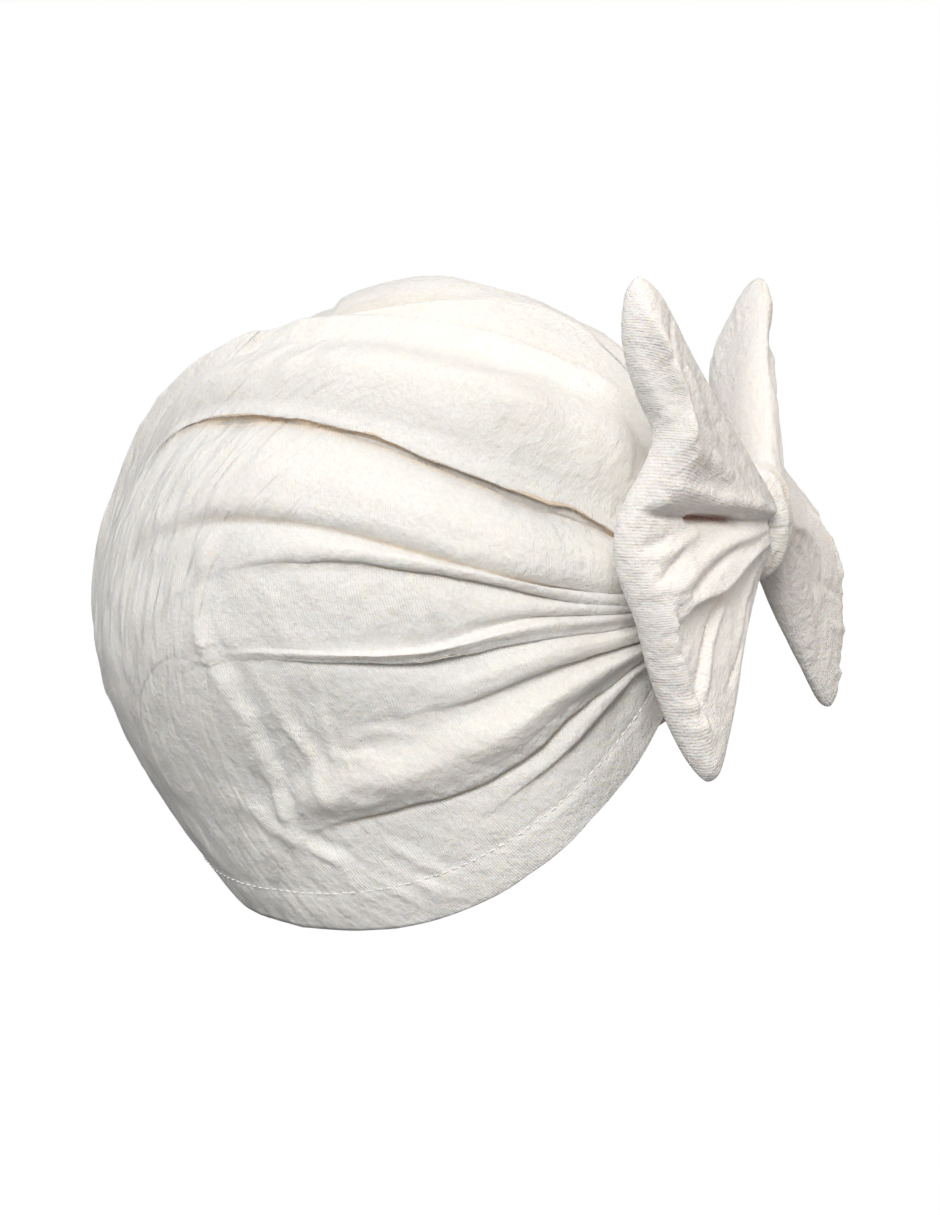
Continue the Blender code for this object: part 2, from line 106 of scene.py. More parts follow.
# Heights of the folds on the wearer's left: their own for two, and a share of the right's for the rest
LEFT_HEIGHTS = {
    "crest": (0, 1.0, 1.4, 1.8, 1.2, 0.6, 0, 0),
    "upper": (0, 1.2, 1.6, 2.4, 3.8, 2.4, 0, 0),
}
LEFT_HEIGHT_SHARE = 0.9
# The share of the way to the rim at which a fold has run out, and over how much of it it fades
FOLD_ENDS = {
    "brow": 0.70, "temple": 0.71, "narrow": 0.69, "short": 0.62, "cheek": 0.74, "ear": 0.70, "jaw": 0.92,
}
PAST_THE_RIM = 1.2
FOLD_FADE = 0.15
# How deep a valley is and how far the cloth tucks under a lip, as shares of the fold's height
VALLEY_SHARE = 0.3
UNDERCUT_SHARE = 0.22
# degrees that the folds on top swing toward the left at the stations, and how far round it fades
TOP_SWING = (0, 0, 0, 3, 7, 4, 0, 0)
TOP_SWING_FADE = 12.0

CROWN_WALL = 1.6
INSIDE_FOLD_SHARE = 0.45
INSIDE_PUFF_SHARE = 0.75

# The crown's mesh lines: each panel's run over this share of it, and the rest go round the lip
PANEL_SHARE = 0.84
FIRST_LINE = 0.025
LIP_LINES = (0.88, 0.91, 0.935, 0.96, 0.98, 1.00)
LAST_PANEL_LINES = 54
LEFT_LINE_SHARE = 0.5
OUTER_RINGS = 178
INNER_RINGS = 24

# The hem, turned up inside the rim
HEM_DEPTH = 11.0
SMOOTH_DEPTH = 13.0
HEM_WALL = 1.0
LAYER_GAP = 0.3
STITCH_DEPTH = 10.4
STITCH_PITCH = 2.6
STITCH_LENGTH = 1.8
STITCH_RADIUS = 0.21


def spline(x, knots, values, flat_start=False):
    """Cubic curve through values at knots, natural at its ends or level at the first knot. Values
    may hold one column for each x."""
    knots = np.asarray(knots, float)
    values = np.asarray(values, float)
    count = len(knots)
    steps = np.diff(knots)
    system = np.zeros((count, count))
    right = np.zeros(values.shape)
    system[0, 0] = system[-1, -1] = 1.0
    if flat_start:
        system[0, :2] = steps[0] / 3, steps[0] / 6
        right[0] = (values[1] - values[0]) / steps[0]
    for i in range(1, count - 1):
        system[i, i - 1 : i + 2] = steps[i - 1] / 6, (steps[i - 1] + steps[i]) / 3, steps[i] / 6
        right[i] = (values[i + 1] - values[i]) / steps[i] - (values[i] - values[i - 1]) / steps[i - 1]
    bend = np.linalg.solve(system, right.reshape(count, -1)).reshape(values.shape)
    x = np.clip(x, knots[0], knots[-1])
    j = np.clip(np.searchsorted(knots, x, side="right") - 1, 0, count - 2)
    a = (knots[j + 1] - x) / steps[j]
    b = (x - knots[j]) / steps[j]
    if values.ndim > 1:
        where = tuple(np.indices(x.shape))
        low, high = (j,) + where, (j + 1,) + where
    else:
        low, high = j, j + 1
    curve = (a**3 - a) * bend[low] + (b**3 - b) * bend[high]
    return a * values[low] + b * values[high] + curve * steps[j] ** 2 / 6


def step_between(low, high, x):
    """0 below low, 1 above high and a smooth rise between."""
    s = np.clip((x - low) / (high - low), 0, 1)
    return s * s * (3 - 2 * s)


def bell(x, width):
    """1 at 0, falling away on both sides like a bell."""
    return np.exp(-((x / width) ** 2))


def between_ends(along, outside, inside):
    """1 along the middle of a line that runs from 0 to 1. It fades at both ends, from this far
    inside them to this far outside."""
    return step_between(-outside, inside, along) * (1 - step_between(1 - inside, 1 + outside, along))


def at_least(least, x):
    """From a least share to 1, for x from 0 to 1."""
    return least + (1 - least) * x


def scatter(cells, seed):
    """A number from -1 to 1 for each whole-number cell, the same in every run: the cell's three
    numbers times large odd numbers, added up, mixed and cut."""
    mixed = (cells * np.array([73856093, 19349663, 83492791])).sum(-1) + seed * 374761393
    mixed = (mixed ^ (mixed >> 13)) * 1274126177
    mixed = mixed ^ (mixed >> 16)
    return (mixed & 0xFFFF) / 32767.5 - 1


def soft_noise(spots, seed):
    """Smooth noise from -1 to 1: a number for each corner of the cell that a spot lies in, blended
    by a smooth step each way."""
    cells = np.floor(spots).astype(np.int64)
    part = spots - cells
    blend = part * part * (3 - 2 * part)
    total = np.zeros(spots.shape[:-1])
    for corner in np.ndindex(2, 2, 2):
        weight = np.where(corner, blend, 1 - blend).prod(-1)
        total += weight * scatter(cells + np.array(corner), seed)
    return total


def noise_at(a, b, c, seed):
    """Smooth noise at three coordinates, each an array or one number for every point."""
    return soft_noise(np.stack(np.broadcast_arrays(a, b, c), -1), seed)


def lengths(vectors):
    """The length of each vector."""
    return np.linalg.norm(vectors, axis=-1)


def unit(vectors, least=0.0):
    """Vectors over their lengths, or over a least length where they are shorter."""
    return vectors / np.maximum(lengths(vectors), least)[..., None]


TILT = np.radians(POLE_TILT)
POLE = np.array([0.0, np.sin(TILT), np.cos(TILT)])
AHEAD = np.array([0.0, -np.cos(TILT), np.sin(TILT)])
RIGHTWARD = np.array([-1.0, 0.0, 0.0])
HEAD_MIDDLE = HEAD_MIDDLE_UP * POLE


def direction(polar, azimuth):
    """Unit vectors at an angle from the pole and an angle from the front toward the right: the
    cosine of the first along the pole, and its sine along the second in the tilted plane."""
    flat = np.cos(azimuth)[..., None] * AHEAD + np.sin(azimuth)[..., None] * RIGHTWARD
    return np.cos(polar)[..., None] * POLE + np.sin(polar)[..., None] * flat


def toward(around, up):
    """Unit vectors a number of degrees round from the front toward the right, and degrees up."""
    a, b = np.radians(around), np.radians(up)
    return np.stack([-np.sin(a) * np.cos(b), -np.cos(a) * np.cos(b), np.sin(b)], -1)


def oval(azimuth, front, side, back):
    """Radius of an oval whose front and back halves differ: one over the root of the squares of
    the cosine over the long half and the sine over the side."""
    long_axis = np.where(np.cos(azimuth) > 0, front, back)
    return 1 / np.sqrt((np.cos(azimuth) / long_axis) ** 2 + (np.sin(azimuth) / side) ** 2)


def rim_height(azimuth):
    """Height of the rim over the tilted plane: a smooth curve through the rows' heights, those of
    the left before the front and those of the right after it."""
    rows = np.array(RIM_ROWS, float)
    turns = np.concatenate([-rows[:0:-1, 0], rows[:, 0]])
    heights = np.concatenate([rows[:0:-1, 2], rows[:, 1]])
    turns = np.concatenate([[-210], turns, [210]])
    heights = np.concatenate([rows[-2:-1, 1], heights, rows[-2:-1, 2]])
    degrees = np.degrees(np.arctan2(np.sin(azimuth), np.cos(azimuth)))
    return spline(degrees, turns, heights)


def rim_table():
    """(azimuth, polar angle, radius) of the rim about the head's middle, in radians and mm: an
    oval plan whose sides are wider toward the back, lifted by the rim's height."""
    around = np.radians(np.linspace(-200, 200, 801))
    across = RIM_SIDE * np.sin(around) * (1 - RIM_EGG * np.cos(around))
    along = np.where(np.cos(around) > 0, RIM_FRONT, RIM_BACK) * np.cos(around)
    turn = np.unwrap(np.arctan2(across, along))
    turn -= 2 * np.pi * np.round((turn - around).mean() / (2 * np.pi))
    azimuth = np.radians(np.linspace(-180, 180, 361))
    reach = np.interp(azimuth, turn, np.hypot(across, along))
    below = rim_height(azimuth) - HEAD_MIDDLE_UP
    return azimuth, np.arctan2(reach, below), np.hypot(reach, below)


RIM_AZIMUTH, RIM_POLAR, RIM_RADIUS = rim_table()


def at_rim(azimuth, column):
    """One column of the rim's table at any azimuth."""
    return np.interp(np.arctan2(np.sin(azimuth), np.cos(azimuth)), RIM_AZIMUTH, column)


def form_radius(polar, azimuth):
    """Distance of the smooth cap from the head's middle: a smooth curve through the radii of the
    top, the rows and the rim, by the share of the way from the pole to the rim."""
    shares = [0.0] + [row[0] for row in FORM_ROWS] + [1.0]
    radii = [np.full(azimuth.shape, TOP_RADIUS)]
    radii += [oval(azimuth, *row[1:]) for row in FORM_ROWS]
    radii += [at_rim(azimuth, RIM_RADIUS)]
    share = np.clip(polar / at_rim(azimuth, RIM_POLAR), 0, 1)
    return spline(share, shares, np.stack(radii), flat_start=True)


def pole_angles(rays):
    """Angle from the pole and angle from the front of unit vectors from the head's middle."""
    return np.arccos(np.clip(rays @ POLE, -1, 1)), np.arctan2(rays @ RIGHTWARD, rays @ AHEAD)


def on_form(rays):
    """Points of the smooth cap along unit vectors from the head's middle."""
    return HEAD_MIDDLE + form_radius(*pole_angles(rays))[..., None] * rays


def above_rim(rays):
    """How far over the rim each ray meets the cap, measured along the cap: the angle that is left
    to the rim times the rim's radius."""
    polar, azimuth = pole_angles(rays)
    return (at_rim(azimuth, RIM_POLAR) - polar) * at_rim(azimuth, RIM_RADIUS)


MEETING = direction(np.radians(MEETING_ANGLE), np.array(np.pi))
SIDEWAYS = RIGHTWARD
UPWARD = np.cross(SIDEWAYS, MEETING)


def flatten(rays):
    """Flat map of directions as seen from the meeting point: rays through it become lines. The
    parts across the view are divided by one minus the part along it."""
    return np.stack([rays @ UPWARD, rays @ SIDEWAYS], -1) / (1 - rays @ MEETING)[..., None]


def unflatten(spots):
    """The directions that flatten takes to these spots."""
    size = (spots**2).sum(-1)
    flat = 2 * spots[..., :1] * UPWARD + 2 * spots[..., 1:] * SIDEWAYS
    return (flat + (size - 1)[..., None] * MEETING) / (size + 1)[..., None]


def fan_table():
    """The gather's spot on the flat map, the sense of up there, and the rim's reach by angle."""
    gather = np.radians(GATHER_ANGLE)
    spot = flatten(direction(gather, np.array(0.0)))
    up = flatten(direction(gather - 0.05, np.array(0.0)))[0] - spot[0]
    rim = flatten(direction(RIM_POLAR, RIM_AZIMUTH)) - spot
    angle = np.unwrap(np.arctan2(rim[:, 1], rim[:, 0] * np.sign(up)))
    order = np.argsort(angle)
    return spot, np.sign(up), angle[order], np.hypot(rim[:, 0], rim[:, 1])[order]


FAN_SPOT, FAN_UP, FAN_ANGLE, FAN_REACH = fan_table()


def fan_rays(angle, share):
    """Directions at an angle round the gather and a share of the way from it to the rim: on the
    flat map, steps whose arc tangent grows evenly up to the rim's."""
    turn = (angle - FAN_ANGLE[0]) % (2 * np.pi) + FAN_ANGLE[0]
    full = np.append(FAN_ANGLE, FAN_ANGLE[0] + 2 * np.pi)
    reach = np.interp(turn, full, np.append(FAN_REACH, FAN_REACH[0]))
    far = np.tan(share * np.arctan(reach))
    step = np.stack([FAN_UP * far * np.cos(angle), far * np.sin(angle)], -1)
    return unflatten(FAN_SPOT + step)


def fold_columns(share, side):
    """Lip angle and lip height of every fold at each share: smooth curves through the stations'
    values, with the height faded out at the fold's end. The crown's middle is fold 0, and the line
    below the gather is the last one."""
    angles = [np.zeros(share.shape)]
    heights = [np.zeros(share.shape)]
    for name, (degrees, right, *_) in FOLDS.items():
        left = LEFT_HEIGHTS.get(name, LEFT_HEIGHT_SHARE * np.array(right))
        lift = np.where(side > 0, spline(share, STATIONS, right), spline(share, STATIONS, left))
        end = FOLD_ENDS.get(name, PAST_THE_RIM)
        angles.append(spline(share, STATIONS, degrees))
        heights.append(np.maximum(lift, 0) * (1 - step_between(end - FOLD_FADE, end, share)))
    angles.append(np.full(share.shape, 180.0))
    heights.append(np.zeros(share.shape))
    return np.radians(np.stack(angles)), np.stack(heights)


def pick(table, index):
    """One entry of each column of a stacked table."""
    return np.take_along_axis(table, index[None], 0)[0]


# How the lip of each fold wavers along its length
LIP_WAVER = 0.18
LIP_WAVER_LENGTH = 6.5
LIP_HEIGHT_WAVER = 0.16
LIP_WAVER_APART = 7.3
FOLD_RUN = 200.0
# Across a panel, in shares of its width: the valley it starts in, where it starts to climb, and the
# wide rolls, which sink again by up to a share of the fold's height before the lip
VALLEY_WIDTH = 0.12
CLIMB_START = 0.10
WIDE_ROLLS = (0.29, 0.38)
LIP_ROLL_LOSS = 0.80
LIP_ROLL_POWER = 1.5
EDGE_ROLL = 0.1
# The panel on top of a fold that faces up falls slowly and quickly from it, with a fine groove, and
# the panel before the fold sinks into a wide valley: shares of the height and of the panel's width
SLOW_FALL, SLOW_FALL_WIDTH = 0.55, 0.55
QUICK_FALL, QUICK_FALL_WIDTH = 0.45, 0.07
GROOVE_DEPTH, GROOVE_PLACE, GROOVE_WIDTH = 0.13, 0.10, 0.045
WIDE_VALLEY_WIDTH = 0.3
# How far the left side's middle reaches over to the right, and how wide the tuck under a lip is
MIDDLE_REACH = 0.8
TUCK_WIDTH = 0.06
# Painted shade goes on the cloth beside a lip and under it, from one angle round the lip to another
SHADE_WIDTH = 0.05
SHADE_ROUND = (1.4, 2.8)
FULL_SHADE_HEIGHT = 5.0
SHADE_POWER = 1.5
# Radians round the gather to a near place on the cap, which gives the way along the cap
SMALL_TURN = 0.01


def lip_waver(share, fold, side):
    """Soft noise along one fold's lip."""
    return noise_at(share * FOLD_RUN / LIP_WAVER_LENGTH, fold * LIP_WAVER_APART + side, 0.0, 5)


def of_folds(column, at_ends):
    """One column of the folds' table, with a value for the crown's middle and for the last line."""
    return np.array([at_ends, *(row[column] for row in FOLDS.values()), at_ends])


def across_panel(panel, share, side):
    """Lift, shift toward the next fold, painted shade for the fold's hollows, and radians round the gather.

    Each panel starts under the lip of the fold above, climbs out of that valley to the crest of
    its own fold, sinks a little where its roll is wide, and goes round the lip: half a turn of an
    oval as high as the fold, whose underside tucks back beneath it. Where a fold faces up, the
    panel before it sinks into a valley and climbs the same oval, and the next panel starts on top
    of it and eases down past a fine groove.
    """
    angles, heights = fold_columns(share, side)
    upper = np.clip(np.ceil(panel).astype(int) - 1, 0, len(FOLDS))
    inside = panel - upper
    waver, waver_above = lip_waver(share, upper + 1, side), lip_waver(share, upper, side)
    below = pick(heights, upper + 1) * (1 + LIP_HEIGHT_WAVER * waver)
    above = pick(heights, upper) * (1 + LIP_HEIGHT_WAVER * waver_above)
    hang, rolled = of_folds(2, 0.0)[upper + 1], of_folds(3, EDGE_ROLL)[upper + 1]
    facing_up = np.array([False, *(name in FACING_UP for name in FOLDS), False])
    starts_on_top, ends_under = facing_up[upper] & (side > 0), facing_up[upper + 1] & (side > 0)
    round_lip = np.clip((inside - PANEL_SHARE) / (1 - PANEL_SHARE), 0, 1) * np.pi
    round_lip = np.where(upper == len(FOLDS), 0, round_lip)
    fall, tuck = (1 + np.cos(round_lip)) / 2, (1 - np.cos(round_lip)) / 2
    crest = PANEL_SHARE * (1 - rolled)
    rise = np.where(upper == 0, 1.0, step_between(CLIMB_START, crest, inside))
    past = np.clip((inside - crest) / (PANEL_SHARE - crest), 0, 1)
    rise *= 1 - LIP_ROLL_LOSS * step_between(*WIDE_ROLLS, rolled) * past**LIP_ROLL_POWER
    before = np.where(inside < PANEL_SHARE, bell(inside - PANEL_SHARE, WIDE_VALLEY_WIDTH), fall)
    lift = below * np.where(ends_under, tuck - 2 * VALLEY_SHARE * before, rise * fall)
    eased = SLOW_FALL * (1 - step_between(0, SLOW_FALL_WIDTH, inside))
    eased = eased + QUICK_FALL * bell(inside, QUICK_FALL_WIDTH)
    eased = eased - GROOVE_DEPTH * bell(inside - GROOVE_PLACE, GROOVE_WIDTH)
    lift += above * np.where(starts_on_top, eased, -VALLEY_SHARE * bell(inside, VALLEY_WIDTH))
    middle = np.maximum(spline(share, STATIONS, LEFT_HEIGHTS["crest"]), 0)
    middle = middle * (1 - step_between(0, MIDDLE_REACH, inside))
    lift += np.where((upper == 0) & (side > 0), middle, 0)
    shift = below * np.where(
        ends_under,
        UNDERCUT_SHARE * before - hang * np.sin(round_lip) + LIP_WAVER * waver * tuck,
        hang * np.sin(round_lip) + (LIP_WAVER * waver - UNDERCUT_SHARE) * tuck,
    )
    under = np.where(starts_on_top, 0, UNDERCUT_SHARE)
    shift += (LIP_WAVER * waver_above - under) * above * bell(inside, TUCK_WIDTH)
    # Painted shade beside and under each lip, where shade falls in the fold
    painted_shade = np.where(starts_on_top, 0, above * bell(inside, SHADE_WIDTH))
    painted_shade += below * np.where(ends_under, before, step_between(*SHADE_ROUND, round_lip))
    painted_shade = np.clip(painted_shade / FULL_SHADE_HEIGHT, 0, 1) ** SHADE_POWER
    return lift, shift, painted_shade, pick(angles, upper) * (1 - inside) + pick(angles, upper + 1) * inside


def crown_surface(panel, share, side):
    """Outer points, the inner side's lift, the rays and the painted shade for how far down in a fold each
    point lies. Panel counts folds down from the crown and side is 1 on the wearer's right. The folds on
    top swing to the left, and each point stands off the smooth cap along its ray and along the cap."""
    lift, shift, painted_shade, angle = across_panel(panel, share, side)
    swing = np.radians(np.interp(share, STATIONS, TOP_SWING))
    angle = angle - side * swing * bell(angle, np.radians(TOP_SWING_FADE))
    rays = fan_rays(side * angle, share)
    points = on_form(rays)
    tangent = unit(on_form(fan_rays(side * (angle + SMALL_TURN), share)) - points, 1e-6)
    puff = GATHER_PUFF * bell(lengths(points - np.array(GATHER_PUFF_CENTRE)), GATHER_PUFF_WIDTH)
    outer = points + (lift + puff)[..., None] * rays + shift[..., None] * tangent
    return outer, INSIDE_FOLD_SHARE * lift + INSIDE_PUFF_SHARE * puff, rays, painted_shade


# Wrinkles of the crown: degrees round and up from the head's middle at one end and the other,
# the sideways bow of the line, and the width and height of the ridge
WRINKLES = (
    (117, 34, 118, 14, -2, 1.5, 1.5),
    (119, 18, 107, -21, 3, 1.6, 1.6),
    (116, 27, 113, 17, 0, 1.0, 0.7),
    (120, 12, 112, -12, 2, 1.1, 0.6),
    (109, 12, 95, -9, 1, 1.2, 0.8),
    (104, 13, 94, -14, -2, 1.2, 0.9),
    (95, 15, 94, -6, 0, 1.0, 0.5),
    (107, 28, 101, 19, 1, 1.0, 0.8),
    (103, 29, 99, 20, 1, 1.0, 0.6),
    (76, 27, 74, 21, 0, 0.9, 0.5),
    (72, 29, 70, 23, 0, 0.9, 0.5),
    (107, -21, 86, -33, 2, 1.1, 0.8),
    (119, -16, 94, -33, 2, 1.2, 0.8),
    (109, -21, 86, -33, 2, 1.2, 0.7),
    (102, -25, 74, -33, 2, 1.2, 0.7),
    (93, -24, 69, -31, 1, 1.1, 0.6),
    (79, -27, 67, -30, 0, 1.0, 0.5),
    (82, -22, 65, -29, 1, 1.1, 0.6),
    (89, -13, 83, -10, 0, 1.1, 0.5),
    (96, -2, 84, -1, -1, 1.1, 0.4),
    (86, 2, 76, 3, 1, 1.1, 0.5),
    (145, 28, 149, 40, 0, 1.0, 0.5),
    (137, 30, 136, 42, 0, 1.0, 0.6),
    (143, 51, 128, 67, 1, 1.0, 0.6),
    (150, 52, 138, 68, 1, 1.0, 0.5),
    (117, 54, 102, 70, 1, 1.1, 0.6),
    (126, 56, 112, 70, 1, 1.0, 0.5),
    (136, 33, 126, 49, 1, 1.0, 0.6),
    (127, 34, 121, 50, 1, 1.0, 0.6),
    (63, 58, 36, 60, -1, 1.6, 0.7),
    (43, 56, 33, 55, 0, 1.4, 0.6),
    (136, 75, 91, 80, 0, 1.2, 0.8),
    (91, 80, 2, 76, 0, 1.2, 0.8),
)
WRINKLE_STRENGTH = 1.15
WRINKLE_WIDENING = 1.5
WRINKLE_WANDER = 1.6
WRINKLE_RADIUS = 80
# share of a ridge's height and of its width that the groove has, in depth and in place
GROOVE_BESIDE = (0.5, 1.8)


def wrinkle_relief(rays):
    """Height of the wrinkles: for each, a bell-shaped ridge along an arc between two directions,
    with a shallow groove beside it, fading out at both ends and wandering a little."""
    relief = np.zeros(rays.shape[:-1])
    wander = WRINKLE_WANDER * soft_noise(rays * 14, 41)
    for round_a, up_a, round_b, up_b, bow, width, height in WRINKLES:
        a, b = toward(round_a, up_a), toward(round_b, up_b)
        normal = unit(np.cross(a, b))
        length = np.arccos(np.clip(a @ b, -1, 1))
        along = np.arctan2(rays @ np.cross(normal, a), rays @ a) / length
        across = np.arcsin(np.clip(rays @ normal, -1, 1)) * WRINKLE_RADIUS
        across = across - bow * 4 * along * (1 - along) + wander
        width = WRINKLE_WIDENING * width
        ridge = bell(across, width)
        ridge = ridge - GROOVE_BESIDE[0] * bell(across - GROOVE_BESIDE[1] * width, width)
        relief += WRINKLE_STRENGTH * height * between_ends(along, 0.12, 0.2) * ridge
    return relief


# Crinkles run round the axis through the ears, as the cloth is drawn over the head from front
# to back: its Y and Z, and how much a place's distance to the side counts
EAR_SPOT = (-23.0, 41.0)
EAR_SHARE = 0.35
# Where they grow to their full height: mm up, share of the way from the gather, and mm from the
# axis. Then the heights of the fine and broad ones, the crumple and the swell
CRINKLED_UP = (15, 65)
CRINKLED_SHARE = (0.36, 0.60)
CRINKLED_FAR = (50, 84)
FINE, BROAD, CRUMPLE, SWELL = 0.35, 0.65, 0.35, 0.8


def crinkle_strength(points, share):
    """How crinkled the cloth is, the product of four: patches of soft noise, a rise from the rim
    to the top, a rise from the folds that pull it tight to the back, and a rise away from the axis
    through the ears."""
    far = np.hypot(points[..., 1] - EAR_SPOT[0], points[..., 2] - EAR_SPOT[1])
    patches = at_least(0.75, soft_noise(points / 14, 16))
    patches *= at_least(0.45, step_between(*CRINKLED_UP, points[..., 2]))
    patches *= step_between(*CRINKLED_SHARE, share)
    return patches * at_least(0.35, step_between(*CRINKLED_FAR, far))


def drawn_ridges(far, slants, pitch, run, main, rate, seeds):
    """Ridges one pitch apart that run a long way: a half minus twice the size of a noise that is
    drawn out along them, whose main part is mixed with one at a higher rate."""
    spots = np.stack([far / pitch, *(slant / run for slant in slants)], -1)
    mixed = main * soft_noise(spots, seeds[0]) + (1 - main) * soft_noise(rate * spots, seeds[1])
    return 0.5 - np.abs(mixed) * 2


def crinkle_relief(points, share):
    """Height of the crinkles: fine and broad ridges drawn out along circles round the axis through
    the ears, as strong as crinkle_strength says, then a crumple and a swell with no direction."""
    x, y, z = np.moveaxis(points, -1, 0)
    far = np.hypot(y - EAR_SPOT[0], z - EAR_SPOT[1]) + EAR_SHARE * np.abs(x)
    far = far + 4.0 * soft_noise(points / 18, 15)
    slants = (y + 0.4 * z, z + x)
    fine = drawn_ridges(far, slants, pitch=3.6, run=14, main=0.65, rate=2.1, seeds=(11, 17))
    slants = (y - 0.5 * z, z - x)
    broad = drawn_ridges(far, slants, pitch=7.0, run=21, main=0.6, rate=1.9, seeds=(12, 18))
    crumple = soft_noise(points / 6.5, 14) * step_between(0.2, 0.5, share)
    relief = (FINE * fine + BROAD * broad) * crinkle_strength(points, share) + CRUMPLE * crumple
    return relief + SWELL * soft_noise(points / 17, 13)


# The far side of the crown lies over the near side in a ledge that starts abruptly. It runs from
# one place toward the back to one further forward, and only near the top
LEDGE_START = 36.5
LEDGE_SLANT = 0.15
LEDGE_EDGE = 0.8
LEDGE_END = 4.0
LEDGE_FADE = 12.0
LEDGE_HEIGHT = 2.4
LEDGE_MIDDLE = 4.0
LEDGE_WIDTH = 20.0
LEDGE_RISE = (60, 90)


def ledge_relief(points):
    """Height of the topmost layer: a smooth step up across the crown, a slow fade toward the front,
    and a bell from side to side."""
    x, y, z = np.moveaxis(points, -1, 0)
    starts = step_between(-LEDGE_EDGE, LEDGE_EDGE, LEDGE_START - y + LEDGE_SLANT * x)
    fades = step_between(LEDGE_END - LEDGE_FADE, LEDGE_END + LEDGE_FADE, y)
    sides = bell(x - LEDGE_MIDDLE, LEDGE_WIDTH)
    return LEDGE_HEIGHT * starts * fades * sides * step_between(*LEDGE_RISE, z)


# The hem stands proud of the cloth above it, with a groove along its stitches and puckers from them
HEM_PROUD = 0.3
HEM_GROOVE = 0.35
HEM_GROOVE_WIDTH = 0.8
HEM_PUCKER = 0.13
RIM_RUN_RADIUS = 68


def hem_relief(rays, points):
    """Height of the hem: a step down over its stitches, a bell-shaped groove along them, and a soft
    noise round the rim that fades above them."""
    depth = above_rim(rays)
    doubled = HEM_PROUD * (1 - step_between(STITCH_DEPTH - 0.6, STITCH_DEPTH + 0.8, depth))
    groove = -HEM_GROOVE * bell(depth - STITCH_DEPTH, HEM_GROOVE_WIDTH)
    around = np.arctan2(points[..., 0], points[..., 1]) * RIM_RUN_RADIUS
    puckers = HEM_PUCKER * noise_at(around / 6.0, depth / 9, 0.0, 21)
    return doubled + groove + puckers * (1 - step_between(9, 17, depth))


def side_lines(share):
    """Mesh lines of one side of the crown, from its middle to the line below the gather."""
    lines = []
    for k, row in enumerate(FOLDS.values()):
        inner = np.linspace(FIRST_LINE, PANEL_SHARE, max(3, round(row[4] * share)))
        lines += [*(k + inner), *(k + np.array(LIP_LINES))]
    last = np.linspace(0.02, 1.0, round(LAST_PANEL_LINES * share))
    return np.array([*lines, *(len(FOLDS) + last)])


def panel_lines():
    """(panel, side) of every mesh line, once round the gather from the crown's middle."""
    right, left = side_lines(1.0), side_lines(LEFT_LINE_SHARE)[-2::-1]
    sides = np.repeat([1, -1], [len(right) + 1, len(left)])
    return np.concatenate([[1e-6], right, left]), sides


def share_at(depth, panels, sides):
    """For each mesh line, the share of its way at which it is this far above the rim."""
    shares = np.linspace(0, 1, 161)
    rays = crown_surface(panels[None] + 0 * shares[:, None], shares[:, None] + 0 * panels, sides)[2]
    above = above_rim(rays)
    return np.array([np.interp(-depth, -above[:, i], shares) for i in range(len(panels))])


def inside_ring(depth, wall, panels, sides):
    """Points this far above the rim on every mesh line, a wall's thickness inside the smooth cap."""
    rays = crown_surface(panels, share_at(depth, panels, sides), sides)[2]
    return on_form(rays) - wall * rays


def grid_normals(points):
    """Outward unit normals of a grid whose rows go round: the cross product of its two ways."""
    down = np.gradient(points, axis=0)
    across = np.roll(points, -1, axis=1) - np.roll(points, 1, axis=1)
    normals = unit(np.cross(across, down), 1e-9)
    middle = points.reshape(-1, 3).mean(axis=0)
    if np.einsum("ijk,ijk->", normals, points - middle) < 0:
        normals = -normals
    return normals


def ring_faces(turns, count, closed=False):
    """Quads between rings of equal length, the last joined to the first where closed."""
    r = np.arange(turns if closed else turns - 1)[:, None]
    i = np.arange(count)[None]
    below, j = (r + 1) % turns, (i + 1) % count
    quads = np.stack([r * count + i, below * count + i, below * count + j, r * count + j], -1)
    return quads.reshape(-1, 4)


def fan_faces(centre, base, count, flip=False):
    """Triangles from one point to every side of a ring."""
    i = np.arange(count)
    faces = np.stack([np.full(count, centre), base + i, base + (i + 1) % count], -1)
    return faces[:, ::-1] if flip else faces


def flat_places(grid):
    """Places on the flat cloth, in metres: how far each point of a grid is along its ring, and how
    far down from ring to ring."""
    runs = []
    for axis in (1, 0):
        steps = np.diff(grid, axis=axis, prepend=grid.take([0], axis))
        runs.append(np.cumsum(lengths(steps), axis=axis))
    return np.stack(runs, -1).reshape(-1, 2) * MM


def new_mesh(name, vertices, faces):
    """A mesh from points in millimetres and faces of any number of corners."""
    mesh = bpy.data.meshes.new(name)
    mesh.from_pydata((np.asarray(vertices) * MM).tolist(), [], [tuple(face) for face in faces])
    return mesh


def into_scene(name, data, place=(0, 0, 0), turn=(0, 0, 0)):
    """An object in the scene, at the origin or at a place in metres."""
    thing = bpy.data.objects.new(name, data)
    thing.location = place
    thing.rotation_euler = turn
    bpy.context.scene.collection.objects.link(thing)
    return thing


def cloth_piece(name, vertices, faces, material, node, uv=None, columns=None):
    """An object from vertices in millimetres that rides on the hat and stands for a CAD node.

    Uv holds a place on the flat cloth for each vertex, and columns one number for each."""
    mesh = new_mesh(name, vertices, faces)
    if uv is not None:
        corner = np.empty(len(mesh.loops), np.int32)
        mesh.loops.foreach_get("vertex_index", corner)
        layer = mesh.uv_layers.new(name="cloth")
        layer.data.foreach_set("uv", np.asarray(uv, np.float32)[corner].ravel())
    for label, values in (columns or {}).items():
        column = mesh.attributes.new(label, "FLOAT", "POINT")
        column.data.foreach_set("value", np.asarray(values, np.float32).ravel())
    mesh.materials.append(material)
    mesh.shade_smooth()
    piece = into_scene(name, mesh)
    outward(mesh)
    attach(piece, "root")
    if node:
        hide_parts(node)
    return piece


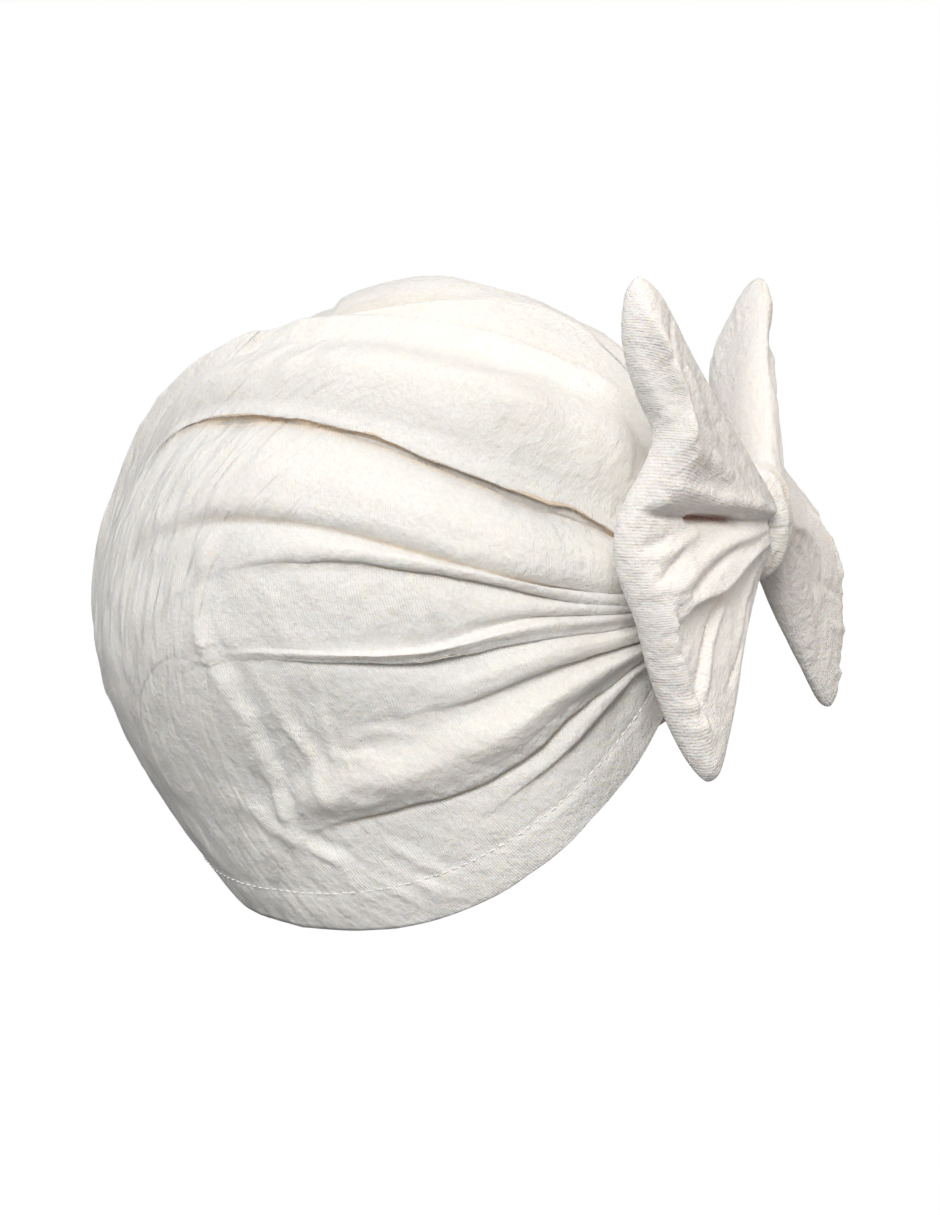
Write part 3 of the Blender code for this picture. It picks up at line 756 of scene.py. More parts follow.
def outward(mesh):
    """Turns the faces of a closed mesh outward if its signed volume is negative."""
    mesh.calc_loop_triangles()
    spots = np.empty(len(mesh.vertices) * 3, np.float32)
    mesh.vertices.foreach_get("co", spots)
    corners = np.empty(len(mesh.loop_triangles) * 3, np.int32)
    mesh.loop_triangles.foreach_get("vertices", corners)
    a, b, c = spots.reshape(-1, 3).astype(float)[corners.reshape(-1, 3)].transpose(1, 0, 2)
    if np.einsum("ij,ij->", a, np.cross(b, c)) < 0:
        mesh.flip_normals()


# The crown's edge stands out by this much, and its relief grows over this share of the way from the
# gather
EDGE_OUT = 0.5
RELIEF_STARTS = (0.0, 0.12)
# Its inner rings lie at these heights over the rim, then at shares of the way from the smooth hem to
# the gather. Its folds show less between two of these shares
HEM_RINGS = (0.0, 3.5, 7.5, HEM_DEPTH)
INNER_SHARES = (0.96, 0.06)
SMOOTH_INSIDE = (0.8, 1.0)
# Share of full painted shade on the cloth inside the hat
INSIDE_SHADE = 0.3


def make_crown(material):
    """The pleated shell: the outside with its reliefs along its normals, a rolled edge, and a
    smoother inside. Gives the outer grid and its rays."""
    panels, sides = panel_lines()
    shares = np.linspace(0, 1, OUTER_RINGS + 1)[1:, None] + 0 * panels
    outer, _, rays, painted_shade = crown_surface(panels + 0 * shares, shares, sides + 0 * shares)
    relief = wrinkle_relief(rays) + crinkle_relief(outer, shares) + hem_relief(rays, outer)
    relief += ledge_relief(outer)
    relief *= step_between(*RELIEF_STARTS, shares)
    outer = outer + relief[..., None] * grid_normals(outer)
    rim = rays[-1]
    polar, azimuth = pole_angles(rim)
    edge = outer[-1] - 0.5 * CROWN_WALL * rim + EDGE_OUT * direction(polar + np.pi / 2, azimuth)
    rings = [edge, *(inside_ring(depth, CROWN_WALL, panels, sides) for depth in HEM_RINGS)]
    last_smooth = share_at(SMOOTH_DEPTH, panels, sides)
    for part in np.linspace(*INNER_SHARES, INNER_RINGS):
        _, lift, ray, _ = crown_surface(panels, part * last_smooth, sides)
        lift = lift * (1 - step_between(*SMOOTH_INSIDE, part))
        rings.append(on_form(ray) - (CROWN_WALL - lift)[:, None] * ray)
    start, lift, ray, _ = crown_surface(np.array([1e-6]), np.zeros(1), np.ones(1))
    inner_start = on_form(ray) - (CROWN_WALL - lift)[:, None] * ray
    grid = np.concatenate([outer, np.array(rings)])
    count, turns = len(panels), len(grid)
    vertices = np.concatenate([grid.reshape(-1, 3), start, inner_start])
    faces = [*ring_faces(turns, count), *fan_faces(len(vertices) - 2, 0, count, True)]
    faces += [*fan_faces(len(vertices) - 1, (turns - 1) * count, count)]
    zeros = np.zeros((len(rings), count))
    # Painted shade: the folds' on the outside, a flat share on the inner rings, and half at the two fan
    # centres
    column = np.concatenate([np.concatenate([painted_shade, zeros + INSIDE_SHADE]).ravel(), [0.5, 0.5]])
    crinkled = np.concatenate([crinkle_strength(outer, shares), zeros]).ravel()
    columns = {"painted_shade": column, "crinkled": np.append(crinkled, [0, 0])}
    uv = np.concatenate([flat_places(grid), [[0, 0], [0, 0]]])
    piece = cloth_piece("crown_cloth", vertices, faces, material, "crown", uv, columns)
    return outer, rays


def make_hem(material):
    """The hem's turned-up layer: a closed band just inside the crown's edge, one side up and the
    other down."""
    panels, sides = (column[::2] for column in panel_lines())
    depths = np.linspace(0, HEM_DEPTH, 9)
    near = CROWN_WALL + LAYER_GAP
    rings = [inside_ring(depth, near, panels, sides) for depth in depths]
    rings += [inside_ring(depth, near + HEM_WALL, panels, sides) for depth in depths[::-1]]
    grid = np.array(rings)
    faces = ring_faces(len(grid), len(panels), closed=True)
    uv = flat_places(grid)
    # The hem layer inside the rim gets the same flat painted shade as the crown's inside
    columns = {"painted_shade": np.full(len(uv), INSIDE_SHADE)}
    vertices = grid.reshape(-1, 3)
    piece = cloth_piece("rim_hem_cloth", vertices, faces, material, "rim_hem", uv, columns)


# A stitch's points from end to end and round it, how far its middle stands up and its ends dip,
# and how thick it is in the middle and how much thinner toward its ends
STITCH_POINTS = 7
STITCH_SIDES = 6
STITCH_UP, STITCH_DIP = 0.28, 1.5
STITCH_FULL, STITCH_THINNER = 1.05, 2.0


def make_stitches(material, outer, rays):
    """The hem's row of stitches: short round threads, thick in the middle, that dip into the cloth
    at both ends, laid end to end along the line that is the stitch depth above the rim."""
    depth = above_rim(rays)
    rows = (depth > STITCH_DEPTH).sum(axis=0) - 1
    column = np.arange(outer.shape[1])
    high, low = depth[rows, column], depth[rows + 1, column]
    part = ((high - STITCH_DEPTH) / (high - low))[:, None]
    line, normal = (
        grid[rows, column] * (1 - part) + grid[rows + 1, column] * part
        for grid in (outer, grid_normals(outer))
    )
    line, normal = np.concatenate([line, line[:1]]), np.concatenate([normal, normal[:1]])
    run = np.concatenate([[0], np.cumsum(lengths(np.diff(line, axis=0)))])
    count = int(run[-1] / STITCH_PITCH)
    knots = np.linspace(-0.5, 0.5, STITCH_POINTS)
    spot = (np.arange(count)[:, None] + 0.5) * run[-1] / count + knots * STITCH_LENGTH
    centre, up = (
        np.stack([np.interp(spot, run, values[:, k]) for k in range(3)], -1) for values in (line, normal)
    )
    up = unit(up)
    lift = STITCH_UP - STITCH_DIP * knots**2
    centre = centre + lift[None, :, None] * up
    side = np.cross(unit(np.gradient(centre, axis=1)), up)
    turn = np.linspace(0, 2 * np.pi, STITCH_SIDES, endpoint=False)
    radius = STITCH_RADIUS * (STITCH_FULL - STITCH_THINNER * np.abs(knots) ** 2)
    circle = np.cos(turn)[None, None, :, None] * side[:, :, None]
    circle = circle + np.sin(turn)[None, None, :, None] * up[:, :, None]
    tube = centre[:, :, None] + radius[None, :, None, None] * circle
    size = STITCH_POINTS * STITCH_SIDES
    one = [*ring_faces(STITCH_POINTS, STITCH_SIDES), range(STITCH_SIDES)[::-1]]
    one += [range(size - STITCH_SIDES, size)]
    faces = [tuple(v + s * size for v in face) for s in range(count) for face in one]
    piece = cloth_piece("hem_stitches", tube.reshape(-1, 3), faces, material, None)


# The bow's pinch, and its outer edges from the upper tip to the lower tip
PINCH_TOP = (0.4, -75.8, 87.5)
PINCH_BOTTOM = (0.4, -75.8, 64.5)
# share of the height (1 upper tip, -1 lower tip), then x, y, z
RIGHT_EDGE = (
    (1.00, -58.0, -56.5, 151.5),
    (0.62, -60.0, -58.5, 127.0),
    (0.42, -57.5, -62.0, 114.0),
    (0.25, -54.5, -64.5, 104.0),
    (0.00, -58.0, -56.8, 84.0),
    (-0.30, -57.0, -60.0, 62.0),
    (-0.65, -52.0, -65.0, 40.0),
    (-1.00, -46.0, -76.5, 5.5),
)
LEFT_EDGE = (
    (1.00, 58.0, -64.0, 142.5),
    (0.60, 61.0, -56.0, 120.0),
    (0.25, 60.0, -55.0, 103.0),
    (0.00, 57.0, -65.0, 84.0),
    (-0.30, 55.0, -80.0, 62.0),
    (-0.65, 51.0, -86.0, 39.0),
    (-1.00, 46.0, -89.8, 7.5),
)
# share of the way from the pinch to the outer edge, then half of the padded thickness
WING_ROWS = (
    (0.00, 5.0),
    (0.13, 5.0),
    (0.18, 7.2),
    (0.40, 6.4),
    (0.65, 5.4),
    (0.86, 5.8),
    (1.00, 5.4),
)
PINCH_SHARE = 0.13
WING_TURN = 0.36
WING_OUT_LINES = 110
WING_EDGE_LINES = 18
WING_HEIGHT_LINES = 220
EDGE_ROUND = 0.09
CORNER_ROUND = 0.075
WING_LOOKS_UP = 0.06
STEP_WIDTH = 1.1
# Puckers: how many up the seam and inward, their height, where they start and are full on the way
# out, and their seed's step. On the upper lobe they are weaker
PUCKERS = ((30, 2.5, 0.5, (0.70, 0.96), 0), (52, 4, 0.25, (0.84, 0.97), 5))
PUCKER_LOSS, PUCKER_LOSS_UP = 0.75, (-0.05, 0.35)
# Heights of the noise drawn out from the pinch, of the crumple and of the grain
WING_DRAWN, WING_CRUMPLE, WING_GRAIN = 0.6, 0.3, 0.1
# The relief fades toward the seams and is weaker on the back, and neither side comes nearer to the
# sheet than its floor in mm
SEAM_FADE_POWER = 0.8
BACK_RELIEF = 0.6
FRONT_FLOOR, BACK_FLOOR = -2.0, 0.6
# A wing's cloth begins to get painted shade where its relief is the start times the range in mm
# below the padded form, and the shade is full one range lower
SHADE_START, SHADE_RANGE = 0.7, 3.5
# Half of a wing's height laid flat, which is also its width
WING_FLAT = 60

# Folds of the bow's front: places as mm out from the middle and mm up, then the width and height
# of the ridge along them, the step from the right to the left of the line, and how far it reaches
RIGHT_FOLDS = (
    # the upper lobe's front layer ends in a curved ridge, with the back layer lower behind it
    (((60, 141), (59, 132), (56, 124), (52.5, 116), (51.5, 110), (54, 103), (58, 96)), 2.2, 2, -4.2, 11),
    # the crease across the middle, with its deep hollow
    (((58, 87), (51, 85), (35, 82), (18, 79), (4, 77)), 1.1, -2.6, -2.6, 8),
    (((42, 83), (35, 82), (28, 81), (20, 79.5)), 1.4, -4.4, 0, 5),
    (((55, 93), (44, 89), (30, 85), (16, 81)), 2.6, 2.0, 0, 5),
    # the slanting lip over the lower panel, and the creases in that panel
    (((7, 72), (20, 69), (29, 64), (37, 62.5), (45, 61), (53, 55)), 1.6, 1.6, 4.0, 12),
    (((20, 67), (32, 57), (43, 42)), 1.1, -1.7, 0, 5),
    (((17, 60), (22, 50), (34, 36)), 1.0, -1.4, 0, 5),
    (((27, 60), (36, 50), (44, 34)), 1.3, 1.2, 0, 5),
    (((13, 62), (19, 48), (30, 30)), 0.9, -1.0, 0, 5),
    (((34, 56), (42, 44), (47, 30)), 0.9, -1.0, 0, 5),
    # the roll along the outer edge below it
    (((51, 64), (49, 52), (45, 40), (41, 28)), 1.5, -1.2, 2.8, 8),
    # puffs between the crease and the slanting lip
    (((14, 76), (30, 74), (44, 69), (54, 66)), 2.0, 1.6, 0, 5),
    (((22, 74), (34, 69), (46, 64)), 1.1, -1.5, 0, 5),
    (((36, 79), (46, 76), (55, 74)), 1.5, 1.3, 0, 5),
    (((42, 76), (50, 71), (56, 69)), 1.0, -1.4, 0, 5),
    (((46, 80), (52, 78), (57, 78)), 1.0, -1.1, 0, 5),
    # soft folds of the upper lobe
    (((22, 84), (34, 94), (42, 108), (48, 124)), 3.4, 1.4, 0, 5),
    (((30, 90), (42, 97), (52, 99)), 2.6, 0.7, 0, 5),
    (((20, 90), (30, 103), (38, 118)), 2.0, -0.6, 0, 5),
    (((46, 132), (52, 126), (56, 118)), 1.4, -1.2, 0, 5),
)
LEFT_FOLDS = (
    # the upper lobe's edge folds over, with a crease along the fold
    (((62, 124), (57, 121), (48, 118), (38, 112), (28, 102)), 2.2, -4.4, 3.6, 9),
    (((57, 132), (56, 116), (53, 100), (48, 88)), 1.3, -2.0, 2.0, 6),
    (((50, 130), (46, 120), (40, 112)), 2.4, 1.2, 0, 5),
    # the crease across the middle, and soft folds below and above it
    (((6, 78), (24, 78), (40, 80), (54, 82)), 2.0, -3.0, 0, 5),
    (((10, 73), (22, 70), (34, 62), (42, 52)), 1.8, 1.1, 0, 5),
    (((10, 69), (20, 62), (30, 50)), 1.3, -1.1, 0, 5),
    (((44, 72), (50, 62), (50, 50)), 1.6, 0.9, 0, 5),
    (((30, 56), (42, 50), (50, 46)), 1.3, -0.9, 0, 5),
    (((34, 44), (42, 40), (50, 38)), 1.4, 0.8, 0, 5),
    (((36, 34), (44, 30), (48, 30)), 1.2, -0.7, 0, 5),
    (((20, 84), (34, 88), (48, 94)), 2.4, 1.0, 0, 5),
)


def edge_curve(rows, height):
    """Points of a wing's outer edge at shares of its height."""
    rows = np.array(rows[::-1], float)
    return np.stack([spline(height, rows[:, 0], rows[:, 1 + k]) for k in range(3)], -1)


def fold_relief(out, up, line, width, ridge, step, reach):
    """Height of one fold: a bell-shaped ridge along a line through the given places, and a step
    from one side of the line to the other that fades away from it, both fading at the ends."""
    line = np.array(line, float)
    smooth = np.linspace(0, len(line) - 1, 8 * len(line))
    line = np.stack([spline(smooth, np.arange(len(line)), line[:, k]) for k in (0, 1)], -1)
    ahead = unit(np.gradient(line, axis=0))
    gap = np.stack([out, up], -1)[..., None, :] - line
    near = np.argmin((gap**2).sum(-1), axis=-1)
    gap = np.take_along_axis(gap, near[..., None, None], -2)[..., 0, :]
    across = ahead[near, 0] * gap[..., 1] - ahead[near, 1] * gap[..., 0]
    far = np.hypot(gap[..., 0], gap[..., 1])
    along = near / (len(line) - 1)
    step = step / 2 * np.tanh(across / STEP_WIDTH) * bell(far, reach)
    return between_ends(along, 0.02, 0.18) * (ridge * bell(far, width) + step)


def wing_relief(out, height, place, folds, seed):
    """Height of a wing's front over its padded form: the drawn folds, puckers that run in from the
    outer seam, a noise drawn out from the pinch, and a crumple and a grain with no direction."""
    relief = np.zeros(out.shape)
    for fold in folds:
        relief += fold_relief(np.abs(place[..., 0]), place[..., 2], *fold)
    puckered = 1 - PUCKER_LOSS * step_between(*PUCKER_LOSS_UP, height)
    for up, inward, high, start, step in PUCKERS:
        pucker = noise_at(height * up, out * inward, seed, seed + step)
        relief += high * puckered * pucker * step_between(*start, out)
    drawn = noise_at(height / (0.35 + out) * 7, out * 3.2, 0.0, seed + 1)
    relief += WING_DRAWN * drawn * step_between(0.05, 0.3, out)
    relief += WING_CRUMPLE * (0.4 - np.abs(soft_noise(place / 7, seed + 2)))
    return relief + WING_GRAIN * soft_noise(place / 3.4, seed + 3)


def both_sides(front, back):
    """Columns of a closed grid: the front's, then the back's without its two ends, turned round."""
    return np.concatenate([front, back[:, -2:0:-1]], axis=1)


def wing_sheet(rows, side):
    """A wing's middle sheet, which runs straight from the pinch to the outer edge, more and more
    slowly toward its rounded corners: the shares out and up, the share out on the sheet and past
    the pinch, the points, and the way that the front faces."""
    edge = np.sin(np.linspace(0, np.pi / 2, WING_EDGE_LINES))[1:]
    out = np.linspace(0, 1 - EDGE_ROUND, WING_OUT_LINES)
    out = np.concatenate([out, 1 - EDGE_ROUND * (1 - edge)])
    height = np.sin(np.linspace(-0.5, 0.5, WING_HEIGHT_LINES) * np.pi)
    out, height = np.meshgrid(out, height, indexing="ij")
    reach = out * (1 - CORNER_ROUND * np.abs(height) ** 10)
    climb = height * (1 - CORNER_ROUND * out**10)
    top = np.array([side * PINCH_TOP[0], *PINCH_TOP[1:]])
    bottom = np.array([side * PINCH_BOTTOM[0], *PINCH_BOTTOM[1:]])
    pinch = bottom + (top - bottom) * (0.5 + 0.5 * climb)[..., None]
    flare = np.clip((reach - PINCH_SHARE) / (1 - PINCH_SHARE), 0, 1)
    centre = pinch + (edge_curve(rows, climb) - pinch) * np.stack([reach, flare, flare], -1)
    turned = side * WING_TURN * step_between(0.0, 0.5, flare)
    forward = unit(np.stack([turned, 0 * flare - 1, 0 * flare + WING_LOOKS_UP], -1))
    return out, height, reach, flare, centre, forward


def make_wing(name, node, rows, folds, side, seed, material):
    """One padded half of the bow: the front and back stand off its middle sheet by the padded
    thickness, which rounds off to nothing along the upper, lower and outer edges."""
    out, height, reach, flare, centre, forward = wing_sheet(rows, side)
    padded = np.interp(reach, *np.transpose(WING_ROWS))
    power = 2 + 3 * step_between(0.0, 0.5, flare)
    closing = np.sqrt(np.clip(1 - np.abs(height) ** power, 0, 1))
    closing *= np.sqrt(np.clip(1 - (np.clip(out - 1 + EDGE_ROUND, 0, 1) / EDGE_ROUND) ** 2, 0, 1))
    relief = wing_relief(out, height, centre, folds, seed)
    back_relief = BACK_RELIEF * wing_relief(out, -height, centre, (), seed + 40)
    soft = closing**SEAM_FADE_POWER
    ahead = np.maximum(padded * closing + relief * soft, FRONT_FLOOR * closing)
    behind = np.maximum(padded * closing + back_relief * soft, BACK_FLOOR * closing)
    grid = both_sides(centre + ahead[..., None] * forward, centre - behind[..., None] * forward)
    vertices = np.concatenate([grid.reshape(-1, 3), grid[:1].mean(axis=1)])
    turns, count = grid.shape[:2]
    faces = [*ring_faces(turns, count), *fan_faces(len(vertices) - 1, 0, count, True)]
    uv = np.stack([both_sides(out, out), both_sides(height, height + 3)], -1) * WING_FLAT * MM
    uv = np.concatenate([uv.reshape(-1, 2), [[0, 0]]])
    # Painted shade in the hollows of the front's relief, fading out toward the pinch; none on the back, and
    # half at the middle point
    valley = np.clip(-relief / SHADE_RANGE - SHADE_START, 0, 1) * step_between(0.05, 0.2, out)
    painted_shade = np.append(both_sides(valley, 0 * valley), 0.5)
    piece = cloth_piece(name, vertices, faces, material, node, uv, {"painted_shade": painted_shade})
    close_seams(piece)


# Points on a seam that are nearer than this, in metres, are one
SEAM_GAP = 0.00002


def close_seams(piece):
    """Joins the points that lie on each other along a seam."""
    weld = piece.modifiers.new("seam", "WELD")
    weld.merge_threshold = SEAM_GAP


# The strip round the bow's middle
KNOT_CENTRE = (0.0, -75.8, 76.0)
KNOT_DEPTH = 6.0
KNOT_HEIGHT = 12.2
KNOT_WALL = 2.8
KNOT_WIDTH = 14.0
KNOT_WIDER = 0.12
KNOT_CURL = 2.6
KNOT_LINES = (160, 72)
# How many creases fit round the strip and along it, their depth and their seed
KNOT_CREASES = ((4.5, 1.5, 0.55, 31), (9, 4, 0.25, 32))


def make_knot(material):
    """The strip wrapped round the bow's middle: a padded band bent into an upright oval, thinner
    toward its two edges, with creases of soft noise that run along it."""
    turns, count = KNOT_LINES
    turn = np.linspace(0, 2 * np.pi, turns, endpoint=False)[:, None]
    part = np.linspace(0, 2 * np.pi, count, endpoint=False)[None]
    across = np.sign(np.cos(part)) * np.abs(np.cos(part)) ** 0.7
    layer = 0.5 + 0.5 * np.sign(np.sin(part)) * np.abs(np.sin(part)) ** 0.8
    crease = 0.0
    for sideways, along, depth, seed in KNOT_CREASES:
        spots = (across * sideways, np.sin(turn) * along, np.cos(turn) * along)
        crease = crease + depth * noise_at(*spots, seed) * (layer > 0.5)
    wall = KNOT_WALL * layer + crease
    curl = KNOT_CURL * np.abs(across) ** 3
    ahead = (KNOT_DEPTH + wall - curl) * np.cos(turn)
    up = (KNOT_HEIGHT + wall - curl) * np.sin(turn)
    x = across * KNOT_WIDTH / 2 * (1 + KNOT_WIDER * np.sin(turn) ** 2)
    grid = np.stack([x, KNOT_CENTRE[1] - ahead, KNOT_CENTRE[2] + up], -1)
    faces = ring_faces(turns, count, closed=True)
    uv = np.stack(np.broadcast_arrays(across * 7, turn * 10), -1).reshape(-1, 2) * MM
    # Painted shade in the strip's creases, as strong as they sink
    columns = {"painted_shade": np.clip(-crease, 0, 1)}
    vertices = grid.reshape(-1, 3)
    piece = cloth_piece("bow_knot_cloth", vertices, faces, material, "bow_knot", uv, columns)


def node_group(name, inputs, outputs):
    """An empty shader group with named sockets, (name, kind, value) for each input and (name, kind)
    for each output. Gives the group, what it is given and what it puts out."""
    group = bpy.data.node_groups.new(name, "ShaderNodeTree")
    for label, kind, value in inputs:
        socket = group.interface.new_socket(label, in_out="INPUT", socket_type="NodeSocket" + kind)
        if value is not None:
            socket.default_value = value
    for label, kind in outputs:
        group.interface.new_socket(label, in_out="OUTPUT", socket_type="NodeSocket" + kind)
    given, result = group.nodes.new("NodeGroupInput"), group.nodes.new("NodeGroupOutput")
    return group, given.outputs, result.inputs


def set_inputs(tree, node, links):
    """Links a node's inputs to sockets or gives them values: (input, socket or value) for each."""
    for label, value in links:
        if isinstance(value, bpy.types.NodeSocket):
            tree.links.new(value, node.inputs[label])
        else:
            node.inputs[label].default_value = value


def add_node(tree, kind, links=(), **settings):
    """The outputs of a new node with these settings and inputs."""
    node = tree.nodes.new("ShaderNode" + kind)
    for key, value in settings.items():
        setattr(node, key, value)
    set_inputs(tree, node, links)
    return node.outputs


def work_out(tree, operation, a, b, kind="Math", **settings):
    """The outcome of one operation on two numbers or vectors."""
    return add_node(tree, kind, [(0, a), (1, b)], operation=operation, **settings)[0]


def noise(tree, place, scale, detail, roughness=0.5, distortion=0.0):
    """Soft noise from 0 to 1 at a place."""
    labels = ("Vector", "Scale", "Detail", "Roughness", "Distortion")
    values = (place, scale, detail, roughness, distortion)
    return add_node(tree, "TexNoise", zip(labels, values))["Fac"]


def blend(tree, factor, a, b, **settings):
    """A share of one number or colour and the rest of another."""
    return add_node(tree, "Mix", [("Factor", factor), ("A", a), ("B", b)], **settings)["Result"]


def ranged(tree, value, low, high, to_low, to_high):
    """A number taken from one range to another and held inside it."""
    labels = ("Value", "From Min", "From Max", "To Min", "To Max")
    return add_node(tree, "MapRange", zip(labels, (value, low, high, to_low, to_high)))["Result"]


def raised(tree, height, depth, under=()):
    """Normals of a surface raised by a height of up to this depth in metres."""
    links = [("Height", height), ("Strength", 1.0), ("Distance", depth), *under]
    return add_node(tree, "Bump", links)["Normal"]


def mix_into(tree, output, factor, a, b):
    """Sends a share of one shader and the rest of another to the output node."""
    mixed = add_node(tree, "MixShader", [(0, factor), (1, a), (2, b)])
    tree.links.new(mixed[0], tree.nodes[output].inputs["Surface"])


def jersey_group():
    """Height of knitted jersey: fine ribs across the cloth, broken up by the loops, and a soft
    uneven fuzz."""
    inputs = [("Cloth Place", "Vector", None), ("Place", "Vector", None), ("Fuzz", "Float", 0.84)]
    outputs = [("Height", "Float"), ("Shade", "Float")]
    group, given, result = node_group("jersey_knit", inputs, outputs)
    wave = [("Vector", given["Cloth Place"]), ("Scale", 480.0), ("Distortion", 2.0)]
    wave += [("Detail", 1.0), ("Detail Scale", 0.6)]
    ribs = add_node(group, "TexWave", wave, wave_type="BANDS", bands_direction="Y")["Fac"]
    fuzz = noise(group, given["Place"], 900.0, 4.0, 0.65)
    group.links.new(blend(group, given["Fuzz"], ribs, fuzz), result["Height"])
    group.links.new(fuzz, result["Shade"])
    return group


CRINKLE_CONTRAST = 2.2


def crinkle_group():
    """Height of fine crinkles: noise drawn out along circles round an axis that runs from side to
    side, mixed with a finer crumple that has no direction."""
    inputs = [
        ("Place", "Vector", None),
        ("Axis Place", "Vector", (0.0, EAR_SPOT[0] * MM, EAR_SPOT[1] * MM)),
        ("Across", "Float", 400.0),
        ("Along", "Float", 60.0),
        ("Crinkled", "Float", 0.0),
    ]
    group, given, result = node_group("fine_crinkle", inputs, [("Height", "Float")])
    moved = work_out(group, "SUBTRACT", given["Place"], given["Axis Place"], "VectorMath")
    flat = work_out(group, "MULTIPLY", moved, (EAR_SHARE, 1.0, 1.0), "VectorMath")
    far = add_node(group, "VectorMath", [(0, flat)], operation="LENGTH")["Value"]
    apart = add_node(group, "SeparateXYZ", [(0, moved)])
    spot = [("X", work_out(group, "MULTIPLY", far, given["Across"]))]
    spot += [(axis, work_out(group, "MULTIPLY", apart[axis], given["Along"])) for axis in "YZ"]
    drawn = noise(group, add_node(group, "CombineXYZ", spot)[0], 1.0, 1.0, 0.4, 0.5)
    drawn = work_out(group, "MULTIPLY", drawn, CRINKLE_CONTRAST)
    loose = noise(group, given["Place"], 260.0, 3.0, 0.6)
    group.links.new(blend(group, given["Crinkled"], loose, drawn), result["Height"])
    return group


def shade_and_tint_group():
    """Colour of the cloth: painted shade, darker and warmer, where it lies down in a fold or crease,
    faint broad patches of a warmer tone of its own, and lighter and rougher where its fuzz stands up."""
    inputs = [
        ("Place", "Vector", None),
        ("Cloth", "Color", (0.8, 0.8, 0.8, 1)),
        ("Shade Cloth", "Color", (0.8, 0.7, 0.6, 1)),
        ("Painted Shade", "Float", 0.0),
        ("Shade", "Float", 0.5),
    ]
    outputs = [("Color", "Color"), ("Roughness", "Float")]
    group, given, result = node_group("cloth_shade_and_tint", inputs, outputs)
    patches = ranged(group, noise(group, given["Place"], 38.0, 2.0), 0.3, 0.7, 0.0, 0.06)
    # Faint random patches of the cloth's own tone, added to the painted shade of its folds
    total = work_out(group, "ADD", patches, given["Painted Shade"], use_clamp=True)
    shade_and_patch_colour = blend(group, total, given["Cloth"], given["Shade Cloth"], data_type="RGBA")
    light = ranged(group, given["Shade"], 0.25, 0.75, 0.93, 1.05)
    shaded = add_node(group, "VectorMath", [(0, shade_and_patch_colour), (3, light)], operation="SCALE")
    rough = ranged(group, given["Shade"], 0.2, 0.8, 0.86, 0.98)
    group.links.new(shaded[0], result["Color"])
    group.links.new(rough, result["Roughness"])
    return group


# Each cloth's colour, the darker, warmer colour of painted shade in its folds and creases, and the
# depth of its crinkles in metres
JERSEYS = {
    "crown_jersey": ((0.90, 0.886, 0.855), (0.81, 0.65, 0.49), 0.0011),
    "hem_jersey": ((0.87, 0.855, 0.82), (0.81, 0.65, 0.49), 0.0009),
    "bow_jersey": ((0.91, 0.892, 0.865), (0.62, 0.33, 0.24), 0.0011),
    "knot_jersey": ((0.90, 0.886, 0.855), (0.81, 0.65, 0.49), 0.0010),
}
KNIT_DEPTH = 0.0004
JERSEY_SURFACE = {
    "Metallic": 0.0,
    "Specular IOR Level": 0.25,
    "Sheen Weight": 0.10,
    "Sheen Roughness": 0.6,
    "Subsurface Weight": 0.30,
    "Subsurface Radius": (1.0, 0.75, 0.5),
    "Subsurface Scale": 0.003,
}
THREAD_SURFACE = {"Base Color": (0.90, 0.885, 0.85, 1), "Roughness": 0.7}
FLOOR_SURFACE = {"Base Color": (0.20, 0.20, 0.20, 1), "Roughness": 0.9}


def new_material(name, surface):
    """A material whose own shader has these plain values, with its tree and that shader."""
    material = bpy.data.materials.new(name)
    material.use_nodes = True
    tree = material.node_tree
    shader = tree.nodes["Principled BSDF"]
    set_inputs(tree, shader, surface.items())
    return material, tree, shader


def jersey_material(name, groups):
    """Matt cotton jersey: knit, crinkles, and colour with painted shade from the shared groups."""
    colour, shade_colour, crinkle_depth = JERSEYS[name]
    knit, crinkle, shade_and_tint = groups
    material, tree, shader = new_material(name, JERSEY_SURFACE)
    cloth = add_node(tree, "UVMap", uv_map="cloth")["UV"]
    place = add_node(tree, "TexCoord")["Object"]
    painted_shade = add_node(tree, "Attribute", attribute_name="painted_shade")["Fac"]
    crinkled = add_node(tree, "Attribute", attribute_name="crinkled")["Fac"]
    knitted = add_node(tree, "Group", [("Cloth Place", cloth), ("Place", place)], node_tree=knit)
    folds = add_node(tree, "Group", [("Place", place), ("Crinkled", crinkled)], node_tree=crinkle)
    looks = [("Place", place), ("Painted Shade", painted_shade), ("Shade", knitted["Shade"])]
    looks += [("Cloth", (*colour, 1)), ("Shade Cloth", (*shade_colour, 1))]
    shaded_and_tinted = add_node(tree, "Group", looks, node_tree=shade_and_tint)
    fine = raised(tree, knitted["Height"], KNIT_DEPTH)
    coarse = raised(tree, folds["Height"], crinkle_depth, [("Normal", fine)])
    looks = [("Base Color", shaded_and_tinted["Color"]), ("Roughness", shaded_and_tinted["Roughness"]), ("Normal", coarse)]
    set_inputs(tree, shader, looks)
    return material


# Lights: name, place and what it lights in metres, width, power and colour
LIGHTS = (
    ("key", (-1.0, -0.22, 0.76), (0, 0, 0.05), 0.5, 11.9, (1.0, 0.972, 0.943)),
    ("overhead", (0.05, 0.1, 1.25), (0, 0, 0.05), 0.9, 0.6, (1.0, 0.99, 0.97)),
    ("front_top", (0.1, -1.0, 0.55), (0, 0, 0.08), 0.7, 5.0, (1.0, 0.93, 0.86)),
)
# The room is darker toward the front: the Y of two directions, and the strength of its light there
ROOM_TINT = (0.98, 0.99, 1.0, 1)
ROOM_BY_Y = (-0.4, 0.8, 0.14, 0.72)
WHITE = (1, 1, 1, 1)
